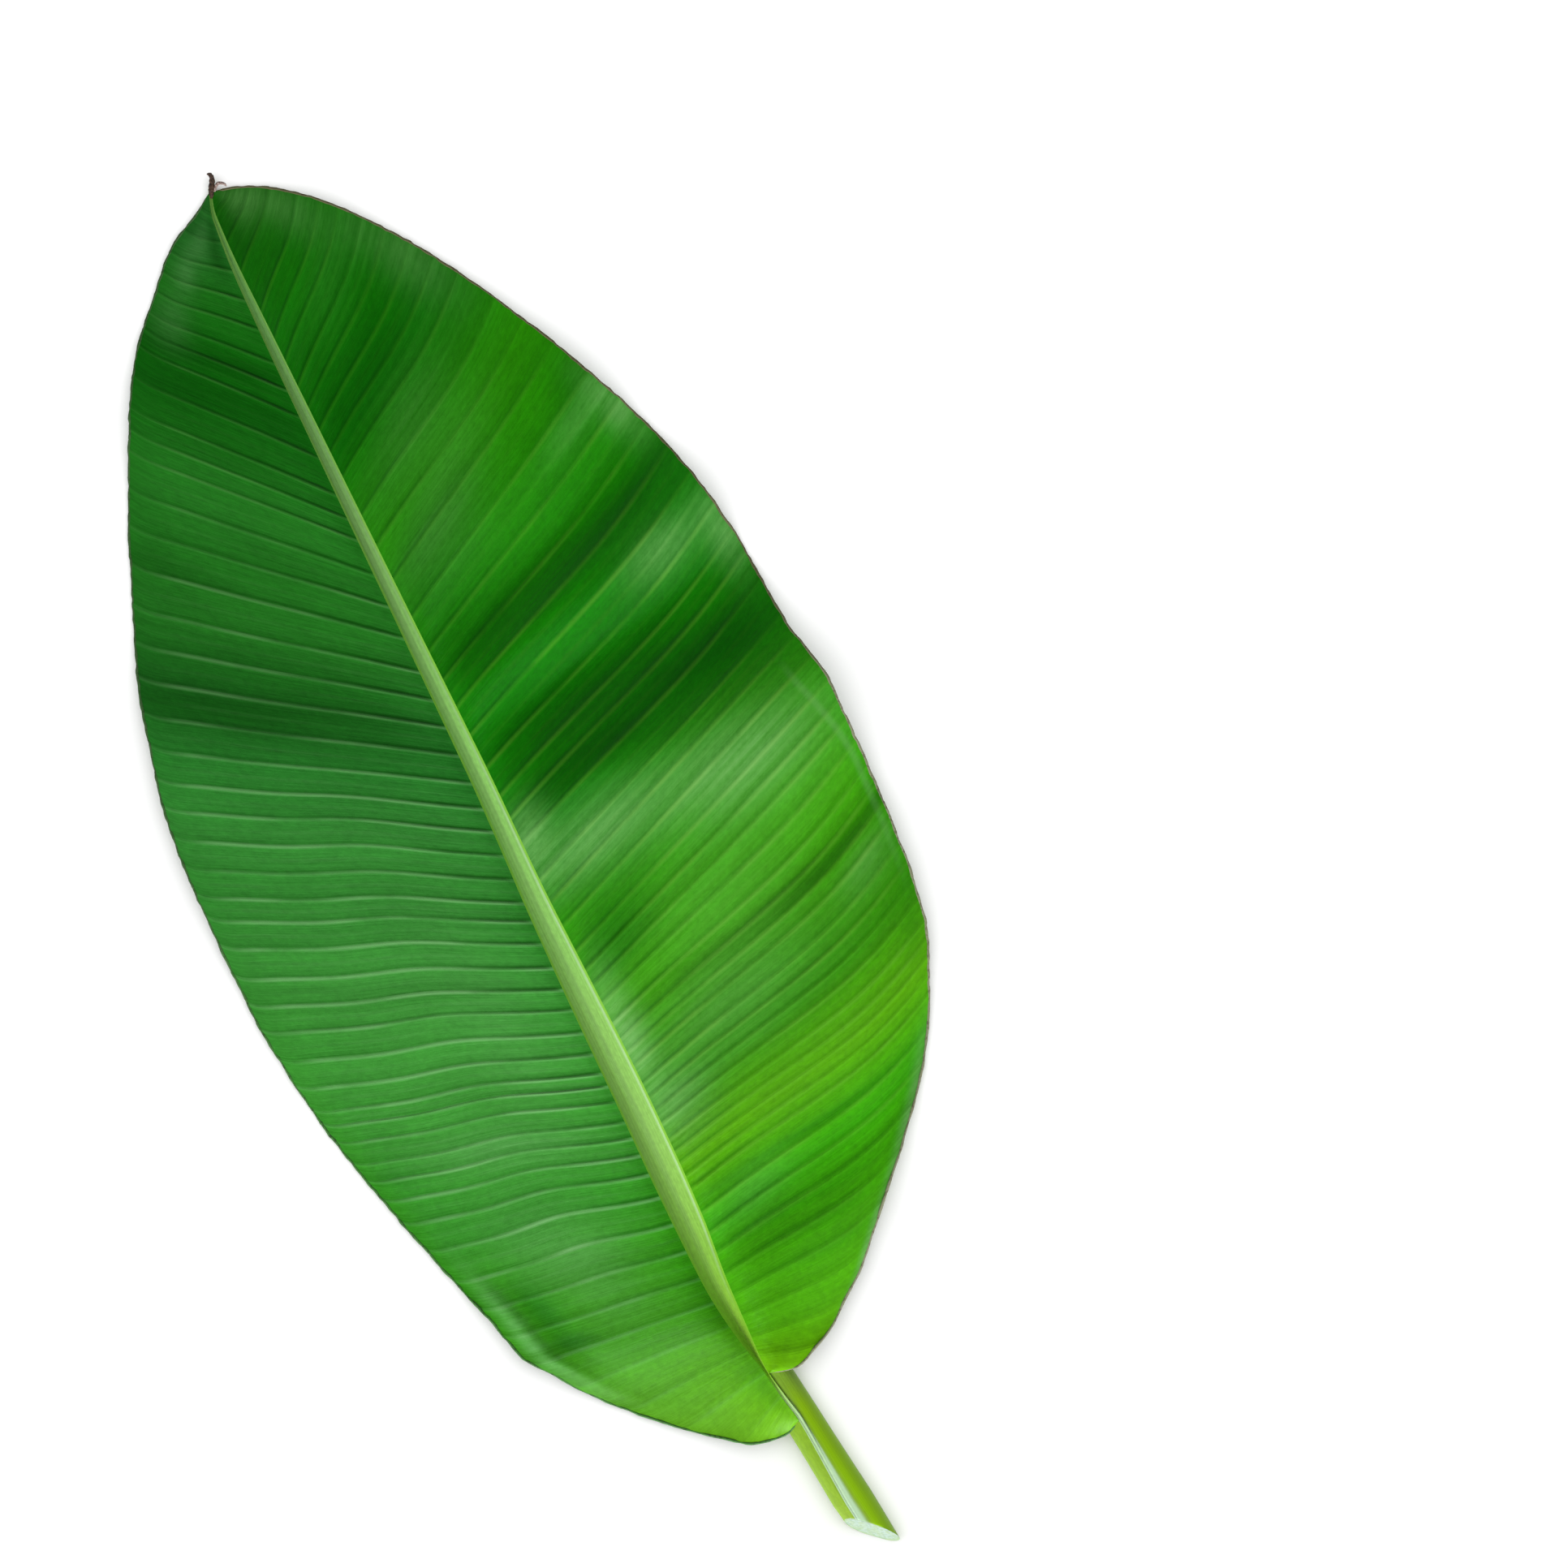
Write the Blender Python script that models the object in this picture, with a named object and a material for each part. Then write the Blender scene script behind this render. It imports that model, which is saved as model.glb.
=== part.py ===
"""A whole banana leaf with a short cut stub of its stalk, laid down with its upper side up.

The leaf grew as one piece, so it is one closed solid. It is lofted in rows that run from edge to
edge along the side veins, every second row on a vein and the others in the hollows between.
The lists below are in millimetres in the leaf's own plan: y runs from the cut to the tip, x to the
right and z up from the surface that the leaf lies on. The finished mesh is in metres.
"""
import math

import bmesh
import bpy
import numpy as np

NAME = "banana_leaf"
METRES = 0.001

# Middle of the leaf's box in its plan, which becomes the model's origin
BOX_CENTRE = (1.2, 299.0)

# Blade
BLADE_THICKNESS = 0.8
VEIN_SPACING = 11.2
ROW_STEP = VEIN_SPACING / 2
PLEAT_HEIGHT = 0.45
PLEAT_START = 1 / 12
COLUMNS = np.array((0.0, 0.06, 0.2, 0.36, 0.52, 0.68, 0.84, 1.0))
LEFT_SAG = 0.02
RIGHT_SAG = 0.05
SAG_POWER = 1.8
BASE_ARCH = 2.4
ARCH_REACH = 9.0
WAVE_REACH = 0.22

# The right half's waves run along the veins, but near this station they turn across them
SKEW_SHARE = 0.42
SKEW_STATION = 305.0
SKEW_REACH = 60.0

# Where the left and right halves of the blade start on the stalk, and where both end
LEFT_START = 54.0
RIGHT_START = LEFT_START + 4 * ROW_STEP
BLADE_END = 599.5

# Side veins: station on the midrib, then x and y where the vein meets the edge of the leaf
LEFT_EDGE = (
    (58, -14, 51), (63, -25, 52.5), (70, -38, 60.5), (78, -52, 72), (87, -66, 86), (97, -79, 101),
    (105, -88, 114), (113, -95, 124.5), (128, -100, 143), (145, -106.5, 163), (180, -119.5, 211),
    (214, -128, 253), (249, -132, 300), (297, -130, 361), (352, -117.5, 424), (400, -98, 476),
    (450, -75.5, 523), (500, -55.5, 556), (541, -39, 573.5), (572, -24, 587.5), (590, -10, 594.5),
)
RIGHT_EDGE = (
    (79, 2, 73.5), (83, 12, 77), (88, 21, 81), (92, 31, 88.5), (97, 42, 97), (104, 53, 108),
    (112, 66, 121), (121, 80, 135.5), (137, 102, 161), (155, 115, 183), (181, 128, 216),
    (217, 133, 263), (259, 134.5, 312), (294, 129, 347), (323, 127.5, 378), (343, 125, 398),
    (374, 117, 431), (419, 99, 476), (482, 68.5, 535), (518, 46, 566.5), (545, 31, 582),
    (567, 19, 591.5), (588, 8, 597),
)

# Height of the leaf's edge above the surface, by the station of the vein that ends there
LEFT_LIFT = (
    (54, 12), (62, 9), (74, 4), (90, 2), (110, 6), (126, 5), (150, 1.5), (205, 1), (250, 2),
    (292, 6.5), (340, 7), (390, 1.2), (425, 1.5), (462, 5.5), (530, 1.2), (570, 2.2), (600, 2.4),
)
RIGHT_LIFT = (
    (76, 12.5), (83, 10), (93, 7), (113, 7.5), (138, 1), (186, 8.5), (213, 10), (221, 7.5),
    (265, 17), (286, 11), (323, 1.5), (352, 11), (381, 2.5), (412, 10), (448, 6), (492, 3),
    (535, 6.5), (560, 3.5), (580, 2.4), (600, 2.4),
)
MEAN_LIFT = ((54, 12), (80, 9), (110, 5.5), (200, 4.5), (300, 5.5), (420, 4.5), (520, 3), (600, 2.4))

# Midrib and stalk, by station: the open channel on top and the round body below it
CHANNEL_CENTRE = (
    (0, -2.6), (25, -3.9), (54, -5.5), (65, -7.6), (76, -9.4), (95, -11.3), (115, -12.1),
    (145, -11), (206, -9.7), (275, -9.5), (345, -7.8), (417, -7.4), (500, -6.9), (560, -6.4),
    (590, -4.8), (600, -1.6), (605, 1.6),
)
CHANNEL_WIDTH = (
    (0, 1.8), (60, 1.6), (76, 1.4), (95, 5.6), (110, 8.4), (126, 10.4), (145, 12.3), (170, 13.2),
    (206, 13), (250, 11.7), (305, 9.2), (345, 8.2), (417, 6.6), (500, 5), (545, 4), (577, 2.6),
    (600, 1.4), (605, 0.7),
)
CHANNEL_DEPTH = ((0, 3), (76, 4.2), (110, 4.6), (206, 3.4), (305, 2.6), (417, 1.7), (500, 1.1), (605, 0.2))
RIM_HEIGHT = (
    (0, 12.6), (76, 12.8), (110, 12), (145, 11), (206, 9.6), (305, 7.2), (417, 4.9), (500, 3.6),
    (577, 2.4), (600, 2.2), (605, 3.4),
)
BODY_CENTRE = (
    (0, 0.3), (50, -4.8), (80, -8.2), (110, -11), (145, -11), (206, -9.7), (275, -9.5), (345, -7.8),
    (417, -7.4), (500, -6.9), (560, -6.4), (590, -4.8), (600, -1.6), (605, 1.6),
)
BODY_WIDTH = (
    (0, 17), (50, 15.2), (110, 15), (170, 15.2), (206, 14.6), (305, 10.8), (417, 7.9), (500, 6.1),
    (577, 3.6), (600, 2.2), (605, 1.1),
)
KEEL_FLAT_ANGLE = math.radians(23)
WIDEST_ROOT_ANGLE = math.radians(62)
BODY_MIDDLE = 0.46
BODY_STEPS = 5
CHANNEL_STEPS = 4
SHARP_ANGLE = math.radians(40)
WELD_DISTANCE = 2e-6
SHORTEST_EDGE = 1e-6

# The slanted cut through the stalk and the dried curl past the blade
CUT_TOP_Y = 5.8
CUT_SLOPE_X = 0.9
CUT_SLOPE_Z = 0.7
STALK_STATIONS = (0.0, 16.0, 28.0, 41.0)
TIP_STATIONS = (BLADE_END, 602.0, 604.8)
TIP_RISE = 0.35

GREEN = (0.045, 0.25, 0.022, 1.0)
LEAF_ROUGHNESS = 0.42


def curve(points, station, column=1):
    """Smooth curve through listed points, which never swings past them."""
    table = np.array(points, dtype=float)
    keys, values = table[:, 0], table[:, column]
    steps = np.diff(keys)
    slopes = np.diff(values) / steps
    tangents = np.zeros(len(keys))
    product = slopes[:-1] * slopes[1:]
    total = slopes[:-1] + slopes[1:]
    tangents[1:-1] = np.where(product > 0, 2 * product / np.where(total == 0, 1, total), 0)
    tangents[0], tangents[-1] = slopes[0], slopes[-1]
    place = np.clip(station, keys[0], keys[-1])
    i = np.minimum(np.searchsorted(keys, place, side="right") - 1, len(steps) - 1)
    t = (place - keys[i]) / steps[i]
    rise = (3 * t ** 2 - 2 * t ** 3) * (values[i + 1] - values[i])
    bend = (t ** 3 - 2 * t ** 2 + t) * tangents[i] + (t ** 3 - t ** 2) * tangents[i + 1]
    return values[i] + rise + bend * steps[i]


def rim(side, station):
    """Edge of the channel, where one half of the blade grows from the midrib."""
    x = curve(CHANNEL_CENTRE, station) + side * curve(CHANNEL_WIDTH, station) / 2
    return np.array((x, station, curve(RIM_HEIGHT, station)))


def edge_list(side):
    """Vein list of one half, closed with its start and end on the midrib."""
    start, veins = (LEFT_START, LEFT_EDGE) if side < 0 else (RIGHT_START, RIGHT_EDGE)
    ends = [(s, rim(side, s)[0], rim(side, s)[1]) for s in (start, BLADE_END)]
    return [ends[0], *veins, ends[1]]


def blade_row(side, station, edges, pleat):
    """Upper face of the blade along one vein, from the midrib to the edge of the leaf."""
    root = rim(side, station)
    start = LEFT_START if side < 0 else RIGHT_START
    if station <= start or station >= BLADE_END:
        return np.repeat(root[None], len(COLUMNS), axis=0)
    edge_x, edge_y = curve(edges, station, 1), curve(edges, station, 2)
    u = COLUMNS
    width = abs(edge_x - root[0])
    x = root[0] + (edge_x - root[0]) * u
    sag = LEFT_SAG if side < 0 else RIGHT_SAG
    y = station + (edge_y - station) * u - sag * width * np.sin(math.pi * u ** SAG_POWER)
    mean = curve(MEAN_LIFT, station)
    skew = SKEW_SHARE * math.exp(-((station - SKEW_STATION) / SKEW_REACH) ** 2) if side > 0 else 0
    along_edge = station - skew * width * (1 - u)
    wave = curve(LEFT_LIFT if side < 0 else RIGHT_LIFT, along_edge) - curve(MEAN_LIFT, along_edge)
    ease = u * u * (3 - 2 * u)
    reach = (1 - np.exp(-u / WAVE_REACH)) / (1 - math.exp(-1 / WAVE_REACH))
    from_root = width * u / ARCH_REACH
    arch = BASE_ARCH * from_root * np.exp(1 - from_root) * root[2] / RIM_HEIGHT[0][1]
    z = root[2] + (mean - root[2]) * ease + wave * reach + arch * (1 - ease)
    z += pleat * np.minimum(1, u / PLEAT_START)
    return np.stack((x, y, np.where(u > 0, np.maximum(z, BLADE_THICKNESS), z)), axis=1)


def channel_row(station):
    """Hollow upper face of the midrib, from its left rim to its right rim."""
    t = np.linspace(-1, 1, CHANNEL_STEPS + 1)
    x = curve(CHANNEL_CENTRE, station) + t * curve(CHANNEL_WIDTH, station) / 2
    z = curve(RIM_HEIGHT, station) - curve(CHANNEL_DEPTH, station) * (1 - t * t)
    return np.stack((x, np.full_like(x, station), z), axis=1)


def body_row(station):
    """Round underside of the midrib, from under its left rim to under its right rim."""
    centre, half = curve(BODY_CENTRE, station), curve(BODY_WIDTH, station) / 2
    top = curve(RIM_HEIGHT, station) - BLADE_THICKNESS
    middle = top * BODY_MIDDLE
    points = []
    for side in (-1, 1):
        offset = side * (rim(side, station)[0] - centre)
        angle = min(math.asin(min(1, max(0, offset / half))), WIDEST_ROOT_ANGLE)
        turn = np.linspace(angle, math.pi - KEEL_FLAT_ANGLE, BODY_STEPS + 1)
        upper = (top - middle) / math.cos(angle)
        lower = middle / math.cos(KEEL_FLAT_ANGLE)
        x = centre + side * half * np.sin(turn)
        z = middle + np.where(np.cos(turn) > 0, upper, lower) * np.cos(turn)
        x[0], z[0] = rim(side, station)[0], top
        z[-1] = 0.0
        row = np.stack((x, np.full_like(x, station), z), axis=1)
        points.append(row if side < 0 else row[::-1])
    return np.concatenate(points)


def lift_tip(rows, station):
    """Raise the underside of the dried tip, which curls up off the surface."""
    raised = max(0.0, station - BLADE_END) * TIP_RISE
    for row in rows:
        row[:, 2] = np.where(row[:, 2] < raised, raised, row[:, 2])


def slant_cut(rows):
    """Move the first ring of the stalk onto the slanted plane of the cut."""
    top = curve(RIM_HEIGHT, 0)
    for row in rows:
        row[:, 1] = CUT_TOP_Y - CUT_SLOPE_X * row[:, 0] - CUT_SLOPE_Z * (top - row[:, 2])


def leaf_rows():
    """Upper and lower faces of the leaf, row by row, each from its left to its right edge."""
    count = int((BLADE_END - LEFT_START) / ROW_STEP)
    stations = [*STALK_STATIONS, *(LEFT_START + ROW_STEP * i for i in range(count)), *TIP_STATIONS]
    left_edges, right_edges = edge_list(-1), edge_list(1)
    uppers, lowers = [], []
    for station in stations:
        on_vein = round((station - LEFT_START) / ROW_STEP) % 2 == 0
        pleat = PLEAT_HEIGHT if on_vein else -PLEAT_HEIGHT
        left = blade_row(-1, station, left_edges, pleat)[::-1]
        right = blade_row(1, station, right_edges, pleat)
        channel, body = channel_row(station), body_row(station)
        drop = np.array((0.0, 0.0, BLADE_THICKNESS))
        rows = [left, channel, right, left - drop, body, right - drop]
        if station == 0:
            slant_cut(rows)
        lift_tip(rows, station)
        left, channel, right, left_under, body, right_under = rows
        uppers.append(np.concatenate((left, channel[1:-1], right)))
        lowers.append(np.concatenate((left_under, body[1:-1], right_under)))
    return uppers, lowers


def skin(mesh, grid, upward):
    """Faces over a grid of points, all split along the same diagonal of the leaf's plan."""
    faces = []
    for row, following in zip(grid, grid[1:]):
        for a, b, c, d in zip(row, row[1:], following[1:], following):
            faces.append(mesh.faces.new((a, b, c, d) if upward else (a, d, c, b)))
    return faces


def build_leaf():
    """One closed body from the two faces, the edge strips and the two end caps."""
    uppers, lowers = leaf_rows()
    centre = np.array((*BOX_CENTRE, 0.0))
    mesh = bmesh.new()

    def place(rows):
        return [[mesh.verts.new((point - centre) * METRES) for point in row] for row in rows]

    upper, lower = place(uppers), place(lowers)
    faces = skin(mesh, upper, True) + skin(mesh, lower, False)
    left_strip = [[low[0], high[0]] for high, low in zip(upper, lower)]
    right_strip = [[high[-1], low[-1]] for high, low in zip(upper, lower)]
    faces += skin(mesh, left_strip, True) + skin(mesh, right_strip, True)
    mesh.faces.new([*lower[0], *reversed(upper[0])])
    mesh.faces.new([*upper[-1], *reversed(lower[-1])])
    bmesh.ops.triangulate(mesh, faces=faces, quad_method="FIXED")
    bmesh.ops.remove_doubles(mesh, verts=mesh.verts[:], dist=WELD_DISTANCE)
    bmesh.ops.dissolve_degenerate(mesh, edges=mesh.edges[:], dist=SHORTEST_EDGE)
    caps = [face for face in mesh.faces if len(face.verts) > 3]
    bmesh.ops.triangulate(mesh, faces=caps, ngon_method="EAR_CLIP")
    data = bpy.data.meshes.new(NAME)
    mesh.to_mesh(data)
    mesh.free()
    data.shade_smooth()
    data.set_sharp_from_angle(angle=SHARP_ANGLE)
    return data


def leaf_material():
    """Waxy leaf green."""
    material = bpy.data.materials.new("leaf_green")
    material.use_nodes = True
    shader = material.node_tree.nodes["Principled BSDF"]
    shader.inputs["Base Color"].default_value = GREEN
    shader.inputs["Roughness"].default_value = LEAF_ROUGHNESS
    shader.inputs["Metallic"].default_value = 0.0
    return material


def main():
    for item in list(bpy.data.objects):
        bpy.data.objects.remove(item, do_unlink=True)
    collection = bpy.data.collections.new(NAME)
    bpy.context.scene.collection.children.link(collection)
    leaf = bpy.data.objects.new(NAME, build_leaf())
    leaf.data.materials.append(leaf_material())
    collection.objects.link(leaf)


main()
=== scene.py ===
"""Looks of the banana leaf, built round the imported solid.

The blade, midrib, stalk, edge and dried tip are modelled again at full detail over the same lists
that shape the solid. Lengths are in millimetres in the leaf's own plan (y from the cut to the tip,
x to the right, z up from the surface that the leaf lies on) until a mesh is made, in metres.
"""
import math

import bpy
import numpy as np
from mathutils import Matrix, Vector

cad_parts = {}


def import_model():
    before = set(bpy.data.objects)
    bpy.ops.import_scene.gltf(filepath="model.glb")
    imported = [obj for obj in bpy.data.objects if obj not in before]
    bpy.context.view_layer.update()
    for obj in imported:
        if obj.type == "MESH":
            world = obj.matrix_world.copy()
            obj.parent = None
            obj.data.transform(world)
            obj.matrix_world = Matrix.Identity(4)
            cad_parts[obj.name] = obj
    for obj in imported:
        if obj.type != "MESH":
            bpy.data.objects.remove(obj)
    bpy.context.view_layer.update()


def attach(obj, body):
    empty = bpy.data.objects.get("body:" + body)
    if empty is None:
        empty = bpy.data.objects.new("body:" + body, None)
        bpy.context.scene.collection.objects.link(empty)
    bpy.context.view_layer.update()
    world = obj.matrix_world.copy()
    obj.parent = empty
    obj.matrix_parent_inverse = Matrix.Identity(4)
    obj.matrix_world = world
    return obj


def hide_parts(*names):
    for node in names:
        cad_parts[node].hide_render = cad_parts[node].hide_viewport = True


NODE = "banana_leaf"
METRES = 0.001
LENGTH = 605.0
BOX_CENTRE = (1.2, 299.0)

# Blade
BLADE_THICKNESS = 0.8
LEFT_SAG = 0.02
SAG_POWER = 1.8
BASE_ARCH = 2.4
ARCH_REACH = 9.0
WAVE_REACH = 0.22
SKEW_SHARE = 0.42
SKEW_STATION = 305.0
SKEW_REACH = 60.0
LEFT_START = 54.0
RIGHT_START = 76.4
BLADE_END = 599.5

# Side veins: station on the midrib, then x and y where the vein meets the edge of the leaf
LEFT_EDGE = (
    (58, -14, 51), (63, -25, 52.5), (70, -38, 60.5), (78, -52, 72), (87, -66, 86), (97, -79, 101),
    (105, -88, 114), (113, -95, 124.5), (128, -100, 143), (145, -106.5, 163), (180, -119.5, 211),
    (214, -128, 253), (249, -132, 300), (297, -130, 361), (352, -117.5, 424), (400, -98, 476),
    (450, -75.5, 523), (500, -55.5, 556), (541, -39, 573.5), (572, -24, 587.5), (590, -10, 594.5),
)
RIGHT_EDGE = (
    (79, 2, 73.5), (83, 12, 77), (88, 21, 81), (92, 31, 88.5), (97, 42, 97), (104, 53, 108),
    (112, 66, 121), (121, 80, 135.5), (137, 102, 161), (155, 115, 183), (181, 128, 216),
    (217, 133, 263), (259, 134.5, 312), (294, 129, 347), (323, 127.5, 378), (343, 125, 398),
    (374, 117, 431), (419, 99, 476), (482, 68.5, 535), (518, 46, 566.5), (545, 31, 582),
    (567, 19, 591.5), (588, 8, 597),
)

# Height of the leaf's edge above the surface, by the station of the vein that ends there
LEFT_LIFT = (
    (54, 12), (62, 9), (74, 4), (90, 2), (110, 6), (126, 5), (150, 1.5), (205, 1), (250, 2),
    (292, 6.5), (340, 7), (390, 1.2), (425, 1.5), (462, 5.5), (530, 1.2), (570, 2.2), (600, 2.4),
)
RIGHT_LIFT = (
    (76, 12.5), (83, 10), (93, 7), (113, 7.5), (138, 1), (186, 8.5), (213, 10), (221, 7.5),
    (265, 17), (286, 11), (323, 1.5), (352, 11), (381, 2.5), (412, 10), (448, 6), (492, 3),
    (535, 6.5), (560, 3.5), (580, 2.4), (600, 2.4),
)
MEAN_LIFT = ((54, 12), (80, 9), (110, 5.5), (200, 4.5), (300, 5.5), (420, 4.5), (520, 3), (600, 2.4))

# Midrib and stalk, by station: the open channel on top and the round body below it
CHANNEL_CENTRE = (
    (0, -2.6), (25, -3.9), (54, -5.5), (65, -7.6), (76, -9.4), (95, -11.3), (115, -12.1),
    (145, -11), (206, -9.7), (275, -9.5), (345, -7.8), (417, -7.4), (500, -6.9), (560, -6.4),
    (590, -4.8), (600, -1.6), (605, 1.6),
)
CHANNEL_WIDTH = (
    (0, 1.8), (60, 1.6), (76, 1.4), (95, 5.6), (110, 8.4), (126, 10.4), (145, 12.3), (170, 13.2),
    (206, 13), (250, 11.7), (305, 9.2), (345, 8.2), (417, 6.6), (500, 5), (545, 4), (577, 2.6),
    (600, 1.4), (605, 0.7),
)
CHANNEL_DEPTH = (
    (0, 0.1), (58, 0.12), (80, 1.6), (95, 4.2), (110, 4.6), (206, 3.4), (305, 2.6), (417, 1.7),
    (500, 1.1), (605, 0.2),
)
RIM_HEIGHT = (
    (0, 12.6), (76, 12.8), (110, 12), (145, 11), (206, 9.6), (305, 7.2), (417, 4.9), (500, 3.6),
    (577, 2.4), (600, 2.2), (605, 3.4),
)
BODY_CENTRE = (
    (0, 0.3), (50, -4.8), (80, -8.2), (110, -11), (145, -11), (206, -9.7), (275, -9.5), (345, -7.8),
    (417, -7.4), (500, -6.9), (560, -6.4), (590, -4.8), (600, -1.6), (605, 1.6),
)
BODY_WIDTH = (
    (0, 17), (50, 15.2), (110, 15), (170, 15.2), (206, 14.6), (305, 10.8), (417, 7.9), (500, 6.1),
    (577, 3.6), (600, 2.2), (605, 1.1),
)
KEEL_FLAT_ANGLE = math.radians(23)
WIDEST_ROOT_ANGLE = math.radians(62)
BODY_MIDDLE = 0.46
BLADE_MERGE = (30.0, 62.0)
CUT_TOP_Y = 5.8
CUT_SLOPE_X = 0.9
CUT_SLOPE_Z = 0.7
CUT_REACH = 16.0

# Rings of the cut's face, from its skin to its middle: share of the outline and how far it is sunk
CUT_RINGS = ((0.965, -0.25), (0.9, 0.15), (0.72, 0.3), (0.48, 0.25), (0.24, 0.2))

# Marks the points of the cut in the guide that its material reads
CUT_GUIDE = 2.0

TIP_END = 604.8
TIP_RISE = 0.35

# Dried tip: points of the dark hook and of the pale shred beside it, with their radii
HOOK_PATH = (
    (-2.4, 597.2, 2.0), (-1.5, 599.2, 2.4), (-0.4, 601.2, 2.9), (0.8, 603.0, 3.4), (1.5, 604.6, 4.2),
    (1.3, 605.7, 5.2), (0.5, 606.1, 5.9),
)
HOOK_RADII = (0.5, 1.15, 1.3, 1.15, 0.95, 0.8, 0.35)
HOOK_MESH = {"steps": 40, "sides": 14, "roughness": 0.16}
SHRED_PATH = (
    (-0.2, 599.2, 2.6), (1.2, 600.6, 3.2), (2.6, 601.2, 4.0), (4.0, 600.6, 4.6), (5.0, 599.6, 4.4),
    (5.2, 598.8, 3.6),
)
SHRED_RADII = (0.5, 0.6, 0.7, 0.6, 0.5, 0.2)
SHRED_MESH = {"steps": 30, "sides": 10, "roughness": 0.0}
CURL_WAVE = 0.3
CURL_SEED = 71

# Side veins that show, by station on the midrib
LEFT_VEINS = (
    54, 66, 77, 88, 100, 111, 122, 134, 146, 158, 168, 176.5, 184, 191, 200, 207, 212.5, 221, 230.5,
    240.5, 249.5, 259, 269.5, 279.3, 287.5, 297.5, 308, 318.5, 328.5, 339.8, 352, 364.5, 376.5, 389,
    404, 418, 432, 447.5, 457, 467.5, 484, 502, 514, 526, 541, 554, 567, 580, 592, 604,
)
RIGHT_VEINS = (
    76.4, 84, 92, 101, 110, 119, 128, 136.5, 145, 155.5, 161, 166.5, 171.5, 177, 184, 189.5, 195.5,
    201.5, 209.5, 215.5, 221.5, 228.5, 237.5, 245.5, 252.5, 261, 272.5, 283, 293, 309, 320.5, 330.5,
    343, 357.5, 370, 382, 395, 410, 427, 442, 455.5, 473, 484, 494, 504, 513.5, 525, 535, 547, 565,
    578, 590, 602,
)
RIGHT_SAG = (
    (76, 0.05), (200, 0.043), (230, 0.035), (250, 0.01), (285, 0), (305, 0.025), (370, 0.03),
    (410, 0.01), (470, 0.055), (600, 0.085),
)

# Soft patches on both halves: pale ones are painted sheen, dark ones painted shade and fresh
# yellow-green ones the leaf's own colour. Each gives station, share across, reach along, reach
# across, tilt and strength
RIGHT_SHEEN_PATCHES = (
    (306, 0.02, 13, 0.08, 0, 0.75), (289, 0.2, 12, 0.22, -20, 0.55), (266, 0.66, 15, 0.27, -34, 0.62),
    (221, 0.02, 24, 0.06, 0, 0.8), (187, 0.06, 12, 0.12, 0, 0.5), (205, 0.35, 16, 0.28, 0, 0.25),
    (235, 0.45, 16, 0.3, 0, 0.15), (350, 0.8, 8, 0.13, -20, 0.5), (333, 0.98, 15, 0.06, 0, 0.55),
    (396, 0.98, 15, 0.06, 0, 0.5), (404, 0.85, 5, 0.14, 0, 0.25), (461, 0.4, 13, 0.3, 20, 0.14),
    (438, 0.45, 13, 0.25, 20, 0.12), (422, 0.25, 14, 0.22, 0, 0.16), (522, 0.6, 12, 0.3, 10, 0.05),
    (556, 0.88, 28, 0.16, 0, 0.25), (582, 0.75, 14, 0.3, 0, 0.3), (495, 0.96, 26, 0.12, 0, 0.25),
    (128, 0.985, 15, 0.045, 0, 0.8), (104, 0.985, 9, 0.045, 0, 0.8), (140, 0.2, 10, 0.16, 0, 0.18),
    (207, 0.88, 6, 0.1, 0, 0.3),
)
RIGHT_SHADE_PATCHES = (
    (314, 0.35, 9, 0.42, -10, 0.7), (303, 0.82, 12, 0.26, -45, 0.75), (333, 0.5, 9, 0.6, -5, 0.35),
    (374, 0.68, 7, 0.4, -5, 0.6), (382, 0.2, 9, 0.3, 5, 0.35), (256, 0.12, 15, 0.16, 0, 0.65),
    (247, 0.08, 4, 0.14, 5, 0.4), (218.5, 0.8, 2, 0.25, 0, 0.5), (148, 0.5, 2.2, 0.6, -5, 0.5),
    (127, 0.4, 2, 0.45, -5, 0.3), (119, 0.5, 2.4, 0.4, -4, 0.3), (110, 0.6, 2, 0.5, -4, 0.3),
    (487, 0.3, 12, 0.45, 10, 0.5), (503, 0.2, 9, 0.4, 5, 0.3), (574, 0.22, 17, 0.35, 0, 0.4),
    (415, 0.95, 12, 0.1, 0, 0.3), (180, 0.95, 8, 0.05, 0, 0.3), (408, 0.1, 46, 0.27, 0, 0.5),
    (530, 0.05, 34, 0.25, 0, 0.3), (345, 0.25, 10, 0.3, 0, 0.25),
)
LEFT_SHEEN_PATCHES = (
    (188, 0.45, 9, 0.3, 8, 0.3), (138, 0.42, 22, 0.22, 0, 0.32), (150, 0.6, 18, 0.2, 0, 0.2),
    (84, 0.75, 24, 0.34, 0, 0.1), (560, 0.76, 12, 0.14, 0, 0.3), (577, 0.6, 10, 0.2, 0, 0.25),
    (240, 0.5, 60, 0.5, 0, 0.12), (235, 0.25, 40, 0.14, 0, 0.14), (528, 0.85, 16, 0.15, 0, 0.25),
    (126, 0.91, 22, 0.05, 0, 0.6),
)
LEFT_SHADE_PATCHES = (
    (358, 0.8, 7, 0.45, 0, 0.45), (366, 0.45, 14, 0.5, 5, 0.35), (129, 0.75, 13, 0.085, 0, 0.7),
    (114.5, 0.72, 3.5, 0.13, 5, 0.7), (125, 0.0, 40, 0.15, 0, 0.12), (76, 0.06, 14, 0.2, 0, 0.35),
    (494, 0.5, 8, 0.6, -8, 0.3), (513, 0.5, 5, 0.6, -8, 0.45), (575, 0.22, 14, 0.16, 0, 0.5),
    (408, 0.9, 6, 0.3, 0, 0.25), (184, 0.9, 6, 0.1, 0, 0.3),
)
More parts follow.
